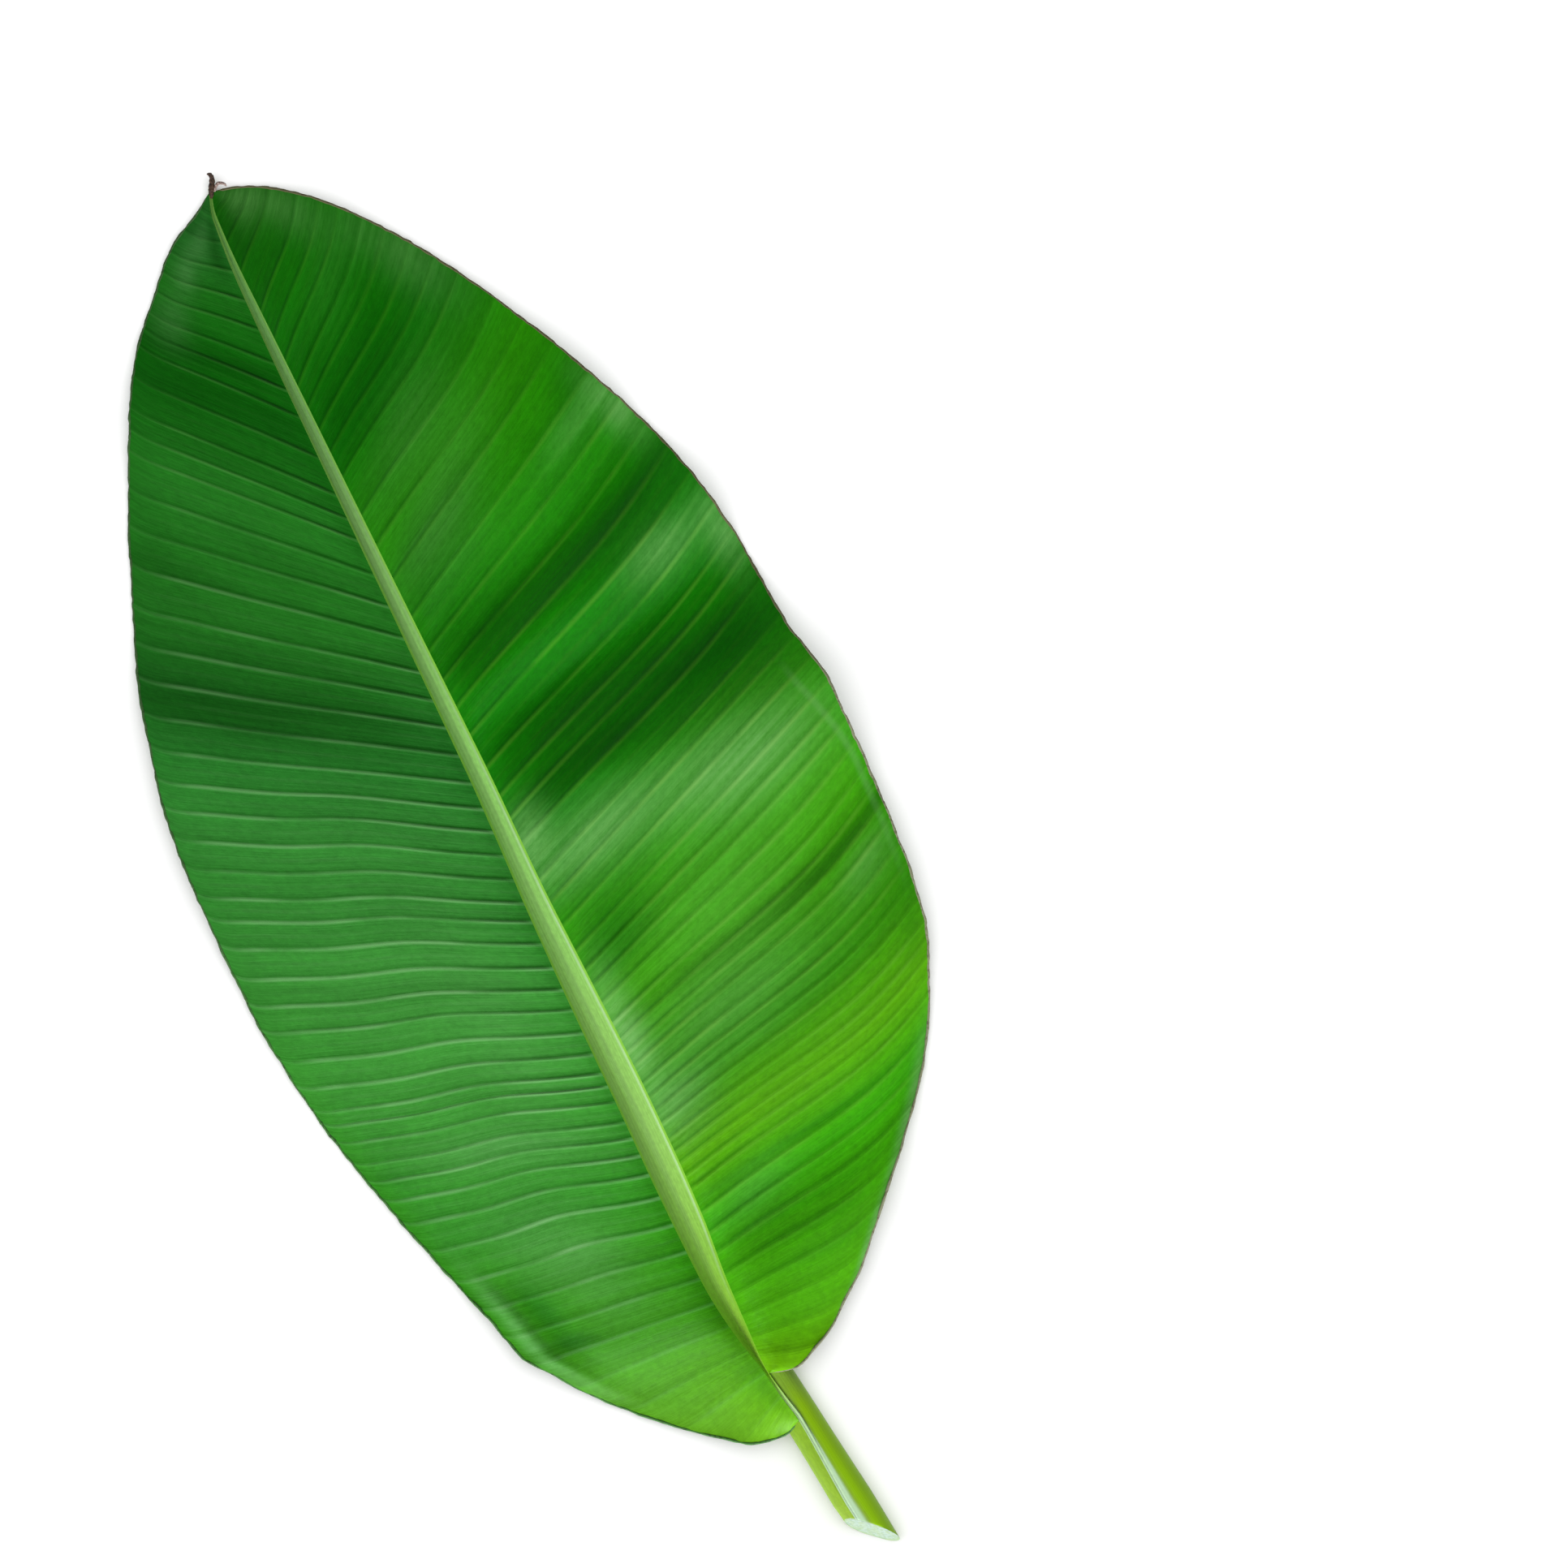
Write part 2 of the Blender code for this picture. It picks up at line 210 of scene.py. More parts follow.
LEFT_FRESH = (
    (125, 0.0, 48, 0.17, 0, 1.0), (76, 0.1, 18, 0.32, 0, 1.0), (150, 0.99, 60, 0.07, 0, 0.8),
    (122, 0.76, 16, 0.12, 0, 0.8), (92, 0.5, 30, 0.6, 0, 0.85),
)
RIGHT_FRESH = ((235, 0.99, 42, 0.035, 0, 0.9), (286, 0.93, 12, 0.1, 0, 0.7), (120, 0.5, 40, 0.5, 0, 0.5))

# Colour of the upper face by station
LEFT_STOPS = (
    (62, (112, 178, 26)), (84, (88, 156, 8)), (105, (58, 134, 1)), (130, (56, 148, 8)),
    (160, (48, 140, 30)), (220, (54, 144, 42)), (280, (42, 128, 36)), (310, (50, 136, 46)),
    (340, (38, 124, 38)), (362, (32, 112, 32)), (390, (34, 118, 29)), (440, (32, 118, 26)),
    (490, (16, 106, 12)), (520, (12, 103, 6)), (550, (24, 110, 18)), (580, (34, 108, 34)),
)
RIGHT_STOPS = (
    (80, (104, 172, 1)), (95, (76, 160, 1)), (140, (58, 166, 1)), (165, (86, 166, 1)),
    (190, (50, 140, 1)), (235, (64, 162, 1)), (300, (24, 130, 1)), (360, (18, 130, 1)),
    (440, (44, 150, 1)), (480, (14, 118, 1)), (530, (16, 116, 1)), (585, (20, 104, 6)),
)

# Deep green multiplied in as painted shade, and the fresh yellow-green tint
PAINTED_SHADE_TINT = (0.13, 0.45, 0.03, 1.0)
FRESH_TINT = (0.8, 0.98, 0.08, 1.0)

# Painted highlight along the right edge's fold: distance from the edge below and above its bend
FOLD_BEND = (232.0, 274.0)
FOLD_PLACE = (3.5, 11.0)
FOLD_WIDTH = 2.4
FOLD_START = (185.0, 225.0)
FOLD_END = (284.0, 266.0)

# Stations between which the veins come out and then take their colours near the tip, the distance
# from the edge over which they fade, and their colour in the painted sheen
VEINS_APPEAR = (80.0, 170.0)
NEAR_TIP = (330.0, 480.0)
EDGE_FADE = (2.0, 16.0)
VEIN_IN_SHEEN = (150, 204, 132)

# Painted shade line past each vein: its start and end beside the vein, and how far from the midrib it
# weakens
SHADE_LINE_START = (0.5, 1.1)
SHADE_LINE_END = (2.8, 1.3)
SHADE_LINE_REACH = (42.0, 16.0)

# Look of the veins on each half: their colours near the base and near the tip, the colour of the
# painted sheen, how strong the major and the minor lines are and how wide, how strong the painted shade
# line past each vein and the painted shade across each panel are, and the share of the painted
# highlight along the edge's fold
LEFT_LOOK = {
    "vein": (126, 186, 118), "vein_near_tip": (76, 146, 62), "pale": (104, 166, 96),
    "share": 0.46, "width": 1.2, "minor": 0.05, "shade_line": 0.55, "panel_shade": 0.16, "fold_highlight": 0.0,
}
RIGHT_LOOK = {
    "vein": (112, 184, 52), "vein_near_tip": (64, 150, 24), "pale": (116, 180, 96),
    "share": 0.28, "width": 1.5, "minor": 0.05, "shade_line": 0.4, "panel_shade": 0.14, "fold_highlight": 0.28,
}

# Size of a texture along the direction in which it stays the same
FLAT = 1e4

# Grain of the upper face: sizes along and across the leaf, shift, detail and roughness of the
# texture, and how strongly each one varies the colour
GRAIN = {
    "streak": ((2.6, 70.0, FLAT), 7.7),
    "broad": ((11.0, 110.0, FLAT), 1.3, 3.0),
    "fine": ((0.9, 30.0, FLAT), 3.1, 2.0, 0.6),
    "blotch": ((30.0, 30.0, FLAT), 5.9, 3.0),
    "mottle": ((1.5, 2.6, FLAT), 15.0, 2.0, 0.6),
}
GRAIN_AMOUNT = {"streak": 0.3, "broad": 0.38, "fine": 0.24, "blotch": 0.3, "mottle": 0.5}

# Colours by share of the leaf's length
UNDER_STOPS = ((0.1, (128, 164, 92)), (0.5, (98, 146, 82)), (1.0, (74, 122, 66)))
CHANNEL_STOPS = (
    (0.0, (184, 214, 180)), (0.09, (172, 206, 150)), (0.125, (150, 200, 56)),
    (0.2, (144, 200, 72)), (0.3, (150, 204, 98)), (0.5, (144, 204, 102)),
    (0.75, (124, 178, 92)), (0.92, (104, 160, 80)), (1.0, (88, 138, 62)),
)
STALK_STOPS = (
    (0.0, (134, 166, 50)), (0.09, (126, 168, 38)), (0.3, (150, 190, 92)), (0.7, (120, 168, 80)),
    (1.0, (84, 132, 60)),
)

# Soft bands of colour laid over those: the colour, then each place that limits the band, with its
# start and end there and the strength at both. On the channel: left wall darkened as painted shade,
# a greyer stripe in the furrow, a whitish painted highlight beside the right rim, and both rims. On
# the stalk: right of the slit, right side darkened as painted shade, left side, and the slit's band,
# a whitish painted highlight. On the cut: the flesh inside the skin, its pores and its clouds.
CHANNEL_BANDS = (
    # Left wall, darkened as painted shade
    ((96, 136, 50), ("across", -1.4, -3.2), ("station", 330.0, 180.0, 0.0, 0.35),
     ("station", 110.0, 190.0, 0.2, 1.0)),
    ((112, 146, 92), ("across", -2.4, -1.2), ("across", 0.9, -0.3, 0.0, 0.26),
     ("station", 90.0, 150.0), ("station", 560.0, 420.0)),
    # Whitish painted highlight beside the right rim
    ((196, 226, 186), ("rim", 0.8, 1.2), ("rim", 2.3, 1.4), ("across", 0.2, 1.2),
     ("station", 100.0, 150.0, 0.0, 0.5), ("station", 420.0, 270.0, 0.2, 1.0)),
    ((136, 202, 52), ("rim", 1.1, 0.4), ("station", 66.0, 100.0, 0.0, 0.8),
     ("station", 540.0, 360.0, 0.35, 1.0)),
)
STALK_BANDS = (
    ((144, 194, 12), ("around", 0.4, 3.0), ("station", 74.0, 56.0)),
    # Right side, darkened as painted shade
    ((98, 128, 10), ("around", 9.0, 12.0, 0.0, 0.5), ("station", 74.0, 56.0)),
    ((138, 180, 26), ("around", -7.0, -10.0, 0.0, 0.6), ("station", 74.0, 56.0)),
    # Whitish painted highlight beside the slit
    ((190, 222, 190), ("around", 1.1, 0.3), ("around", -0.6, -0.1), ("station", 66.0, 50.0, 0.0, 0.8)),
)
CUT_SKIN = (128, 168, 70)
CUT_BANDS = (
    ((162, 182, 170), ("depth", 2.98, 2.9)),
    ((124, 152, 122), ("pores", 0.42, 0.62, 0.0, 0.6)),
    ((150, 172, 110), ("cloud", 0.42, 0.62, 0.0, 0.4)),
)

# Fibres of the midrib: length, width, how strongly they vary the colour, and shift
CHANNEL_FIBRE = (260.0, 0.6, 0.6, 2.6)
STALK_FIBRE = (70.0, 0.6, 0.4, 9.1)

# Line along the edge: colours near the base, near the tip and of the specks, and their strength
GREEN_EDGE = ("edge_green", (66, 122, 50), (58, 98, 44), (40, 72, 26), 0.8)
DRY_EDGE = ("edge_dry", (138, 142, 110), (96, 96, 58), (78, 64, 42), 0.6)
EDGE_TURN = (260.0, 380.0)

# Dried tip: light and dark colour
DRIED_BROWN = ("dried_brown", (96, 66, 44), (38, 24, 18))
DRIED_PALE = ("dried_pale", (206, 184, 176), (120, 92, 84))

# Creases that only the looks have: along the left edge near the base, where the blade is folded
# into a ridge and a dip beside it, and two places where the right edge turns up
CREASE_STATION = 122.0
CREASE_REACH = 22.0
CREASE_RIDGE = {"height": 1.5, "from_edge": 9.0, "width": 3.2}
CREASE_DIP = {"height": -1.1, "from_edge": 20.0, "width": 6.0}
TURNED_UP = ((138.0, 9.0), (110.0, 6.0))
TURNED_HEIGHT = 1.3
TURNED_WIDTH = 4.5

# Course of the left veins: how far they swing towards the tip in the middle and up at the edge
SWING_MIDDLE = {"height": 2.6, "share": 0.42, "reach": 0.2, "start": (120, 160), "end": (350, 310)}
SWING_EDGE = {"height": 1.6, "reach": 5.0, "start": (60, 100)}

# Small bites out of the edge: depth, length and seed, how far in they fade out, and the least width
# of a row that has them
NIBBLES = ((0.22, 2.3, 21), (0.2, 6.5, 31))
NIBBLE_REACH = 2.5
NIBBLE_ROW = 6.0

# Number of random values behind a wave and along each side of a bumpy plane
RIPPLE_KNOTS = 4096
RELIEF_KNOTS = 256

# Fine relief that only the looks have: the thickness of the sheet, then for both halves the height
# of the step past each vein, the share of the panel it takes, and the ridge on the vein
SHEET_THICKNESS = 0.55
STEP_HEIGHT = (0.3, 0.24)
STEP_SHARE = (0.15, 0.3)
RIDGE_HEIGHT = (0.1, 0.05)
RIDGE_WIDTH = (0.7, 1.2)

# Where the steps come in beside the rim, weaken towards the edge and start along the leaf, and how
# the left half's differ from that
STEP_ROOT = (0, 4)
STEP_EDGE = (0, 22, 0.35, 1.0)
STEP_START = (60, 130)
LEFT_STEP_RIM = (0.35, 0.1, 0.6, 1.2)
LEFT_STEP_START = (130, 190, 0.4, 1.0)

# Random changes of the steps, on both halves, and of the whole sheet
UNEVEN = (0.35, 0.8)
UNEVEN_SIZE = (14, 45)
UNEVEN_SEED = 3
DRAPE_HEIGHT = 0.3
DRAPE_SIZE = (19, 30)
DRAPE_START = (4, 30)
DRAPE_SEED = 13

# Lip on the rims of the channel, and the furrows in it
LIP_HEIGHT = 0.22
LIP_WIDTH = 0.7
LIP_START = (60, 100)
FURROW_DEPTH = 0.11
FURROWS_PER_MM = 1.6
FURROW_SEED = 61

# Places of the rows between two veins, and of the columns beside the rim and the edge
VEIN_PHASES = (0.0, 0.035, 0.07, 0.105, 0.145, 0.19, 0.25, 0.34, 0.46, 0.6, 0.74, 0.86, 0.93, 0.97)
ROOT_COLUMNS = (0.0, 0.4, 0.8, 1.3, 2.0, 3.0, 4.4)
EDGE_COLUMNS = (3.0, 1.8, 1.0, 0.4, 0.0)
PLAIN_COLUMNS = 50
NARROW_ROW = 24.0
LAST_ROW_GAP = 0.5

# Dry line along the edge
EDGE_RADIUS = 0.5
EDGE_SIDES = 8
EDGE_SHORTEST_STEP = 0.05
EDGE_LONG_WAVE = {"share": 0.25, "length": 3.1, "seed": 41}
EDGE_SHORT_WAVE = {"share": 0.15, "length": 1.1, "seed": 47}
EDGE_TAPER = 6.0
EDGE_END_SHARE = 0.25

# Rows and columns of the midrib's mesh
STALK_ROWS = 40
TIP_ROWS = 6
FACE_COLUMNS = 22


def srgb(red, green, blue):
    """Linear colour, with alpha, of a colour given as screen values from 0 to 255."""
    shares = [channel / 255 for channel in (red, green, blue)]
    linear = [s / 12.92 if s <= 0.04045 else ((s + 0.055) / 1.055) ** 2.4 for s in shares]
    return (*linear, 1.0)


def curve(points, stations, column=1):
    """Smooth curve through listed points, which never swings past them, for many stations."""
    table = np.array(points, dtype=float)
    keys, values = table[:, 0], table[:, column]
    steps = np.diff(keys)
    slopes = np.diff(values) / steps
    tangents = np.zeros(len(keys))
    product = slopes[:-1] * slopes[1:]
    total = slopes[:-1] + slopes[1:]
    tangents[1:-1] = np.where(product > 0, 2 * product / np.where(total == 0, 1, total), 0)
    tangents[0], tangents[-1] = slopes[0], slopes[-1]
    place = np.clip(np.asarray(stations, dtype=float), keys[0], keys[-1])
    i = np.clip(np.searchsorted(keys, place, side="right") - 1, 0, len(steps) - 1)
    t = (place - keys[i]) / steps[i]
    rise = (3 * t ** 2 - 2 * t ** 3) * (values[i + 1] - values[i])
    bend = (t ** 3 - 2 * t ** 2 + t) * tangents[i] + (t ** 3 - t ** 2) * tangents[i + 1]
    return values[i] + rise + bend * steps[i]


def smooth(value, low, high):
    """0 below low, 1 above high and an even S between them."""
    t = np.clip((value - low) / (high - low), 0, 1)
    return t * t * (3 - 2 * t)


def between(value, low, high, at_low, at_high):
    """Number that goes from one value to another as an even S."""
    return at_low + (at_high - at_low) * smooth(value, low, high)


def ripple(place, wavelength, seed):
    """Smooth irregular wave from -1 to 1 along one direction."""
    knots = np.random.default_rng(seed).uniform(-1, 1, RIPPLE_KNOTS)
    t = np.asarray(place, dtype=float) / wavelength + RIPPLE_KNOTS / 8
    i = np.floor(t).astype(int)
    f = t - i
    f = f * f * (3 - 2 * f)
    return knots[i % RIPPLE_KNOTS] * (1 - f) + knots[(i + 1) % RIPPLE_KNOTS] * f


def relief(x, y, size_x, size_y, seed):
    """Smooth irregular bumps from -1 to 1 over a plane."""
    knots = np.random.default_rng(seed).uniform(-1, 1, (RELIEF_KNOTS, RELIEF_KNOTS))
    u, v = x / size_x + RELIEF_KNOTS / 2, y / size_y + RELIEF_KNOTS / 2
    i, j = np.floor(u).astype(int), np.floor(v).astype(int)
    f, g = u - i, v - j
    f, g = f * f * (3 - 2 * f), g * g * (3 - 2 * g)
    i, j, k, m = [place % RELIEF_KNOTS for place in (i, j, i + 1, j + 1)]
    low = knots[i, j] * (1 - f) + knots[k, j] * f
    high = knots[i, m] * (1 - f) + knots[k, m] * f
    return low * (1 - g) + high * g


# Shape of the leaf


def rim(side, stations):
    """Edge of the channel, where one half of the blade grows from the midrib."""
    x = curve(CHANNEL_CENTRE, stations) + side * curve(CHANNEL_WIDTH, stations) / 2
    return np.stack((x, stations, curve(RIM_HEIGHT, stations)), axis=-1)


def edge_list(side):
    """Vein list of one half, closed with its start and end on the midrib."""
    start, veins = (LEFT_START, LEFT_EDGE) if side < 0 else (RIGHT_START, RIGHT_EDGE)
    ends = [(s, *rim(side, np.array([s]))[0, :2]) for s in (start, BLADE_END)]
    return [ends[0], *veins, ends[1]]


def vein_rows(side):
    """Stations of the rows of one half with their vein count, close together at each vein."""
    veins = np.array(LEFT_VEINS if side < 0 else RIGHT_VEINS, dtype=float)
    phases = (np.arange(len(veins) - 1)[:, None] + np.array(VEIN_PHASES)[None]).ravel()
    stations = np.interp(phases, np.arange(len(veins)), veins)
    inside = stations < BLADE_END - LAST_ROW_GAP
    last = np.interp(BLADE_END, veins, np.arange(len(veins)))
    return np.append(stations[inside], BLADE_END), np.append(phases[inside], last)


def columns(width):
    """Distance from the rim, as a share of the row's width, close together at both ends."""
    shrink = np.minimum(1, width / NARROW_ROW)[:, None]
    root = np.array(ROOT_COLUMNS)[None] * shrink
    edge = width[:, None] - np.array(EDGE_COLUMNS)[None] * shrink
    t = np.linspace(0, 1, PLAIN_COLUMNS + 2)[None, 1:-1]
    middle = root[:, -1:] * (1 - t) + edge[:, :1] * t
    return np.concatenate((root, middle, edge), axis=1) / np.maximum(width, 1e-6)[:, None]


def blade_top(side, stations, phases):
    """Upper face of one half of the blade, with the coordinates that its material reads."""
    edges = edge_list(side)
    root = rim(side, stations)
    edge_x, edge_y = curve(edges, stations, 1), curve(edges, stations, 2)
    width = np.abs(edge_x - root[:, 0])
    width[0] = width[-1] = 0
    u = np.where(width[:, None] > 0, columns(np.maximum(width, 0.01)), 0)
    s = stations[:, None]
    across = width[:, None] * u
    from_edge = width[:, None] - across
    x = root[:, :1] + side * across
    sag = LEFT_SAG if side < 0 else curve(RIGHT_SAG, s)
    y = s + (edge_y[:, None] - s) * u - sag * width[:, None] * np.sin(math.pi * u ** SAG_POWER)
    y = y + vein_bend(side, s, u, from_edge)
    mean = curve(MEAN_LIFT, stations)[:, None]
    lift = LEFT_LIFT if side < 0 else RIGHT_LIFT
    skew = SKEW_SHARE * np.exp(-((s - SKEW_STATION) / SKEW_REACH) ** 2) if side > 0 else 0
    along_edge = s - skew * from_edge
    wave = curve(lift, along_edge) - curve(MEAN_LIFT, along_edge)
    ease = u * u * (3 - 2 * u)
    reach = (1 - np.exp(-u / WAVE_REACH)) / (1 - math.exp(-1 / WAVE_REACH))
    from_root = across / ARCH_REACH
    arch = BASE_ARCH * from_root * np.exp(1 - from_root) * root[:, 2:] / RIM_HEIGHT[0][1]
    z = root[:, 2:] + (mean - root[:, 2:]) * ease + wave * reach + arch * (1 - ease)
    z = z + fine_relief(side, s, phases[:, None], across, from_edge, u)
    z = np.where(u > 0, np.maximum(z, BLADE_THICKNESS), z)
    nibble = sum(depth * ripple(s, length, seed + side) for depth, length, seed in NIBBLES)
    x = x + side * nibble * np.exp(-from_edge / NIBBLE_REACH) * (width[:, None] > NIBBLE_ROW)
    points = np.stack((x, y + 0 * x, z), axis=-1)
    guide = np.stack((s + 0 * x, across, from_edge), axis=-1)
    # Pale patches are painted sheen, dark ones painted shade, fresh ones the leaf's own colour
    pale, dark = (LEFT_SHEEN_PATCHES, LEFT_SHADE_PATCHES) if side < 0 else (RIGHT_SHEEN_PATCHES, RIGHT_SHADE_PATCHES)
    fresh = LEFT_FRESH if side < 0 else RIGHT_FRESH
    sheen_shade_fresh = np.stack([patches(table, s, u) for table in (pale, dark, fresh)], axis=-1)
    return points, guide, sheen_shade_fresh


def patches(table, s, u):
    """Strength of overlapping soft patches, from 0 to 1."""
    left = np.ones(np.broadcast(s, u).shape)
    for station, share, along, across, tilt, strength in table:
        place = (s - station - tilt * (u - share)) / along
        left = left * (1 - strength * np.exp(-place ** 2 - ((u - share) / across) ** 2))
    return 1 - left


def vein_bend(side, s, u, from_edge):
    """How far the left half's veins swing from their plain course, in the middle and at the edge."""
    if side > 0:
        return 0 * u
    from_middle = (u - SWING_MIDDLE["share"]) / SWING_MIDDLE["reach"]
    middle = SWING_MIDDLE["height"] * np.exp(-from_middle ** 2)
    middle = middle * smooth(s, *SWING_MIDDLE["end"]) * smooth(s, *SWING_MIDDLE["start"])
    turn = from_edge / SWING_EDGE["reach"]
    at_edge = SWING_EDGE["height"] * turn * np.exp(1 - turn)
    return (middle - at_edge) * smooth(s, *SWING_EDGE["start"])


def swell(form, from_edge):
    """Rounded ridge, or dip, at one distance from the edge."""
    return form["height"] * np.exp(-((from_edge - form["from_edge"]) / form["width"]) ** 2)


def fine_relief(side, s, phases, across, from_edge, u):
    """Panels that rise to each vein and step down past it, the rim's lip and local creases."""
    half = 0 if side < 0 else 1
    spacing = np.gradient(s[:, 0]) / np.gradient(phases[:, 0])
    past = phases % 1
    beside = np.minimum(past, 1 - past) * spacing[:, None]
    hold = smooth(across, *STEP_ROOT) * between(from_edge, *STEP_EDGE) * smooth(s, *STEP_START)
    if side < 0:
        hold = hold * between(u, *LEFT_STEP_RIM) * between(s, *LEFT_STEP_START)
    uneven = 1 + UNEVEN[half] * relief(s, across, *UNEVEN_SIZE, UNEVEN_SEED + side)
    share = STEP_SHARE[half]
    profile = np.where(past < share, 1 - smooth(past, 0, share), (past - share) / (1 - share))
    step = STEP_HEIGHT[half] * (profile - 0.5) * hold * uneven
    ridge = RIDGE_HEIGHT[half] * np.exp(-(beside / RIDGE_WIDTH[half]) ** 2) * hold
    lip = LIP_HEIGHT * np.exp(-(across / LIP_WIDTH) ** 2)
    drape = DRAPE_HEIGHT * relief(s, across, *DRAPE_SIZE, DRAPE_SEED + side)
    drape = drape * smooth(across, *DRAPE_START)
    height = step + ridge + lip + drape
    if side < 0:
        window = np.exp(-((s - CREASE_STATION) / CREASE_REACH) ** 2)
        return height + window * (swell(CREASE_RIDGE, from_edge) + swell(CREASE_DIP, from_edge))
    window = sum(np.exp(-((s - station) / reach) ** 2) for station, reach in TURNED_UP)
    return height + TURNED_HEIGHT * window * np.clip(1 - from_edge / TURNED_WIDTH, 0, 1) ** 2


def leaf_metres(points):
    """Points in metres in the model's own frame."""
    return (np.asarray(points) - np.array((*BOX_CENTRE, 0.0))) * METRES


def make_object(name, points, faces, guide, materials, material_index, smooth_angle=50):
    """Mesh object in metres with a guide vector on each point, smooth but for its sharp edges."""
    data = bpy.data.meshes.new(name)
    data.from_pydata(leaf_metres(points).tolist(), [], faces)
    for material in materials:
        data.materials.append(material)
    data.polygons.foreach_set("material_index", np.asarray(material_index, np.int32))
    data.validate()
    data.shade_smooth()
    data.set_sharp_from_angle(angle=math.radians(smooth_angle))
    made = bpy.data.objects.new(name, data)
    point_vectors(made, "guide", guide)
    bpy.context.scene.collection.objects.link(made)
    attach(made, "root")
    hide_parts(NODE)
    return made


def grid_faces(rows, cols, first=0, flip=False, wrap=False):
    """Quads over a grid of numbered points."""
    i = np.arange(rows - 1)[:, None]
    j = np.arange(cols if wrap else cols - 1)[None]
    following = (j + 1) % cols
    a, b = i * cols + j, i * cols + following
    c, d = (i + 1) * cols + following, (i + 1) * cols + j
    order = (a, d, c, b) if flip else (a, b, c, d)
    return (np.stack([p + 0 * a for p in order], axis=-1).reshape(-1, 4) + first).tolist()


def point_vectors(made, name, values):
    """Three numbers on each point of a mesh, for its material to read."""
    made.data.attributes.new(name, "FLOAT_VECTOR", "POINT")
    flat = np.asarray(values, np.float32).ravel()
    made.data.attributes[name].data.foreach_set("vector", flat)


def build_blade(side, name, materials):
    """One half of the blade as a closed sheet: upper face, underside and the strips round them."""
    stations, phases = vein_rows(side)
    top, guide, sheen_shade_fresh = blade_top(side, stations, phases)
    rows, cols = top.shape[:2]
    under = top.copy()
    under[..., 2] -= SHEET_THICKNESS
    flip = side < 0
    total = rows * cols
    faces = grid_faces(rows, cols, 0, flip) + grid_faces(rows, cols, total, not flip)
    index = [0] * (len(faces) // 2) + [1] * (len(faces) // 2)
    for col, turned in ((cols - 1, flip), (0, not flip)):
        for r in range(rows - 1):
            a, b = r * cols + col, (r + 1) * cols + col
            quad = [a, a + total, b + total, b]
            faces.append(quad[::-1] if turned else quad)
            index.append(0)
    points = np.concatenate((top.reshape(-1, 3), under.reshape(-1, 3)))
    guides = np.concatenate((guide.reshape(-1, 3),) * 2)
    made = make_object(name, points, faces, guides, materials, index)
    spacing = np.gradient(stations) / np.gradient(phases)
    vein = np.repeat(np.stack((phases, spacing, stations), axis=-1)[:, None], cols, axis=1)
    point_vectors(made, "vein", np.concatenate((vein.reshape(-1, 3),) * 2))
    # Shares of painted sheen, painted shade and fresh colour on each point
    point_vectors(made, "sheen_shade_fresh", np.concatenate((sheen_shade_fresh.reshape(-1, 3),) * 2))
    return made, top


def tube(path, radii, sides, twist=0.0):
    """Rings of a tube along a path, each ring square to it."""
    path = np.asarray(path, dtype=float)
    along = np.gradient(path, axis=0)
    along /= np.maximum(np.linalg.norm(along, axis=1), 1e-9)[:, None]
    up = np.array((0.0, 0.0, 1.0))
    across = np.cross(along, up)
    across /= np.maximum(np.linalg.norm(across, axis=1), 1e-9)[:, None]
    normal = np.cross(across, along)
    angle = np.linspace(0, 2 * math.pi, sides, endpoint=False) + twist
    ring = across[:, None] * np.cos(angle)[None, :, None] + normal[:, None] * np.sin(angle)[None, :, None]
    return path[:, None] + ring * np.asarray(radii, dtype=float)[:, None, None]


def close_tube(rings):
    """Points and faces of a tube with a cap at each end."""
    rows, sides = rings.shape[:2]
    faces = grid_faces(rows, sides, 0, False, wrap=True)
    last = (rows - 1) * sides
    faces.append(list(range(sides))[::-1])
    faces.append([last + k for k in range(sides)])
    return rings.reshape(-1, 3), faces


def build_edge(side, name, top, material):
    """Thin dry line along the edge of one half of the blade."""
    path = top[:, -1].copy()
    path[:, 2] -= SHEET_THICKNESS / 2
    keep = np.r_[True, np.linalg.norm(np.diff(path, axis=0), axis=1) > EDGE_SHORTEST_STEP]
    path = path[keep]
    along = np.r_[0, np.cumsum(np.linalg.norm(np.diff(path, axis=0), axis=1))]
    long, short = EDGE_LONG_WAVE, EDGE_SHORT_WAVE
    radius = EDGE_RADIUS * (
        1 + long["share"] * ripple(along, long["length"], long["seed"] + side)
        + short["share"] * ripple(along, short["length"], short["seed"]))
    ends = np.minimum(1, np.minimum(along, along[-1] - along) / EDGE_TAPER + EDGE_END_SHARE)
    rings = tube(path, radius * ends, EDGE_SIDES)
    points, faces = close_tube(rings)
    place, corner = np.repeat(along, EDGE_SIDES), np.tile(np.arange(float(EDGE_SIDES)), len(along))
    guide = np.stack((place, corner, 0 * place), axis=-1)
    return make_object(name, points, faces, guide, [material], [0] * len(faces))


def channel_points(stations, steps):
    """Hollow upper face of the midrib, rim to rim, with a low lip at both rims."""
    t = np.sin(np.linspace(-math.pi / 2, math.pi / 2, steps + 1))[None]
    half = curve(CHANNEL_WIDTH, stations)[:, None] / 2
    x = curve(CHANNEL_CENTRE, stations)[:, None] + t * half
    depth = curve(CHANNEL_DEPTH, stations)[:, None]
    z = curve(RIM_HEIGHT, stations)[:, None] - depth * (1 - t * t)
    lip = LIP_HEIGHT * smooth(stations, *LIP_START)[:, None]
    z = z + lip * np.exp(-((1 - np.abs(t)) * half / LIP_WIDTH) ** 2)
    furrow = FURROW_DEPTH * ripple(t * half * FURROWS_PER_MM, 1.0, FURROW_SEED) * (1 - t * t)
    y = stations[:, None] + 0 * x
    rim_distance = (1 - np.abs(t)) * half
    return np.stack((x, y, z + furrow), axis=-1), np.stack((y, t * half, rim_distance), axis=-1)


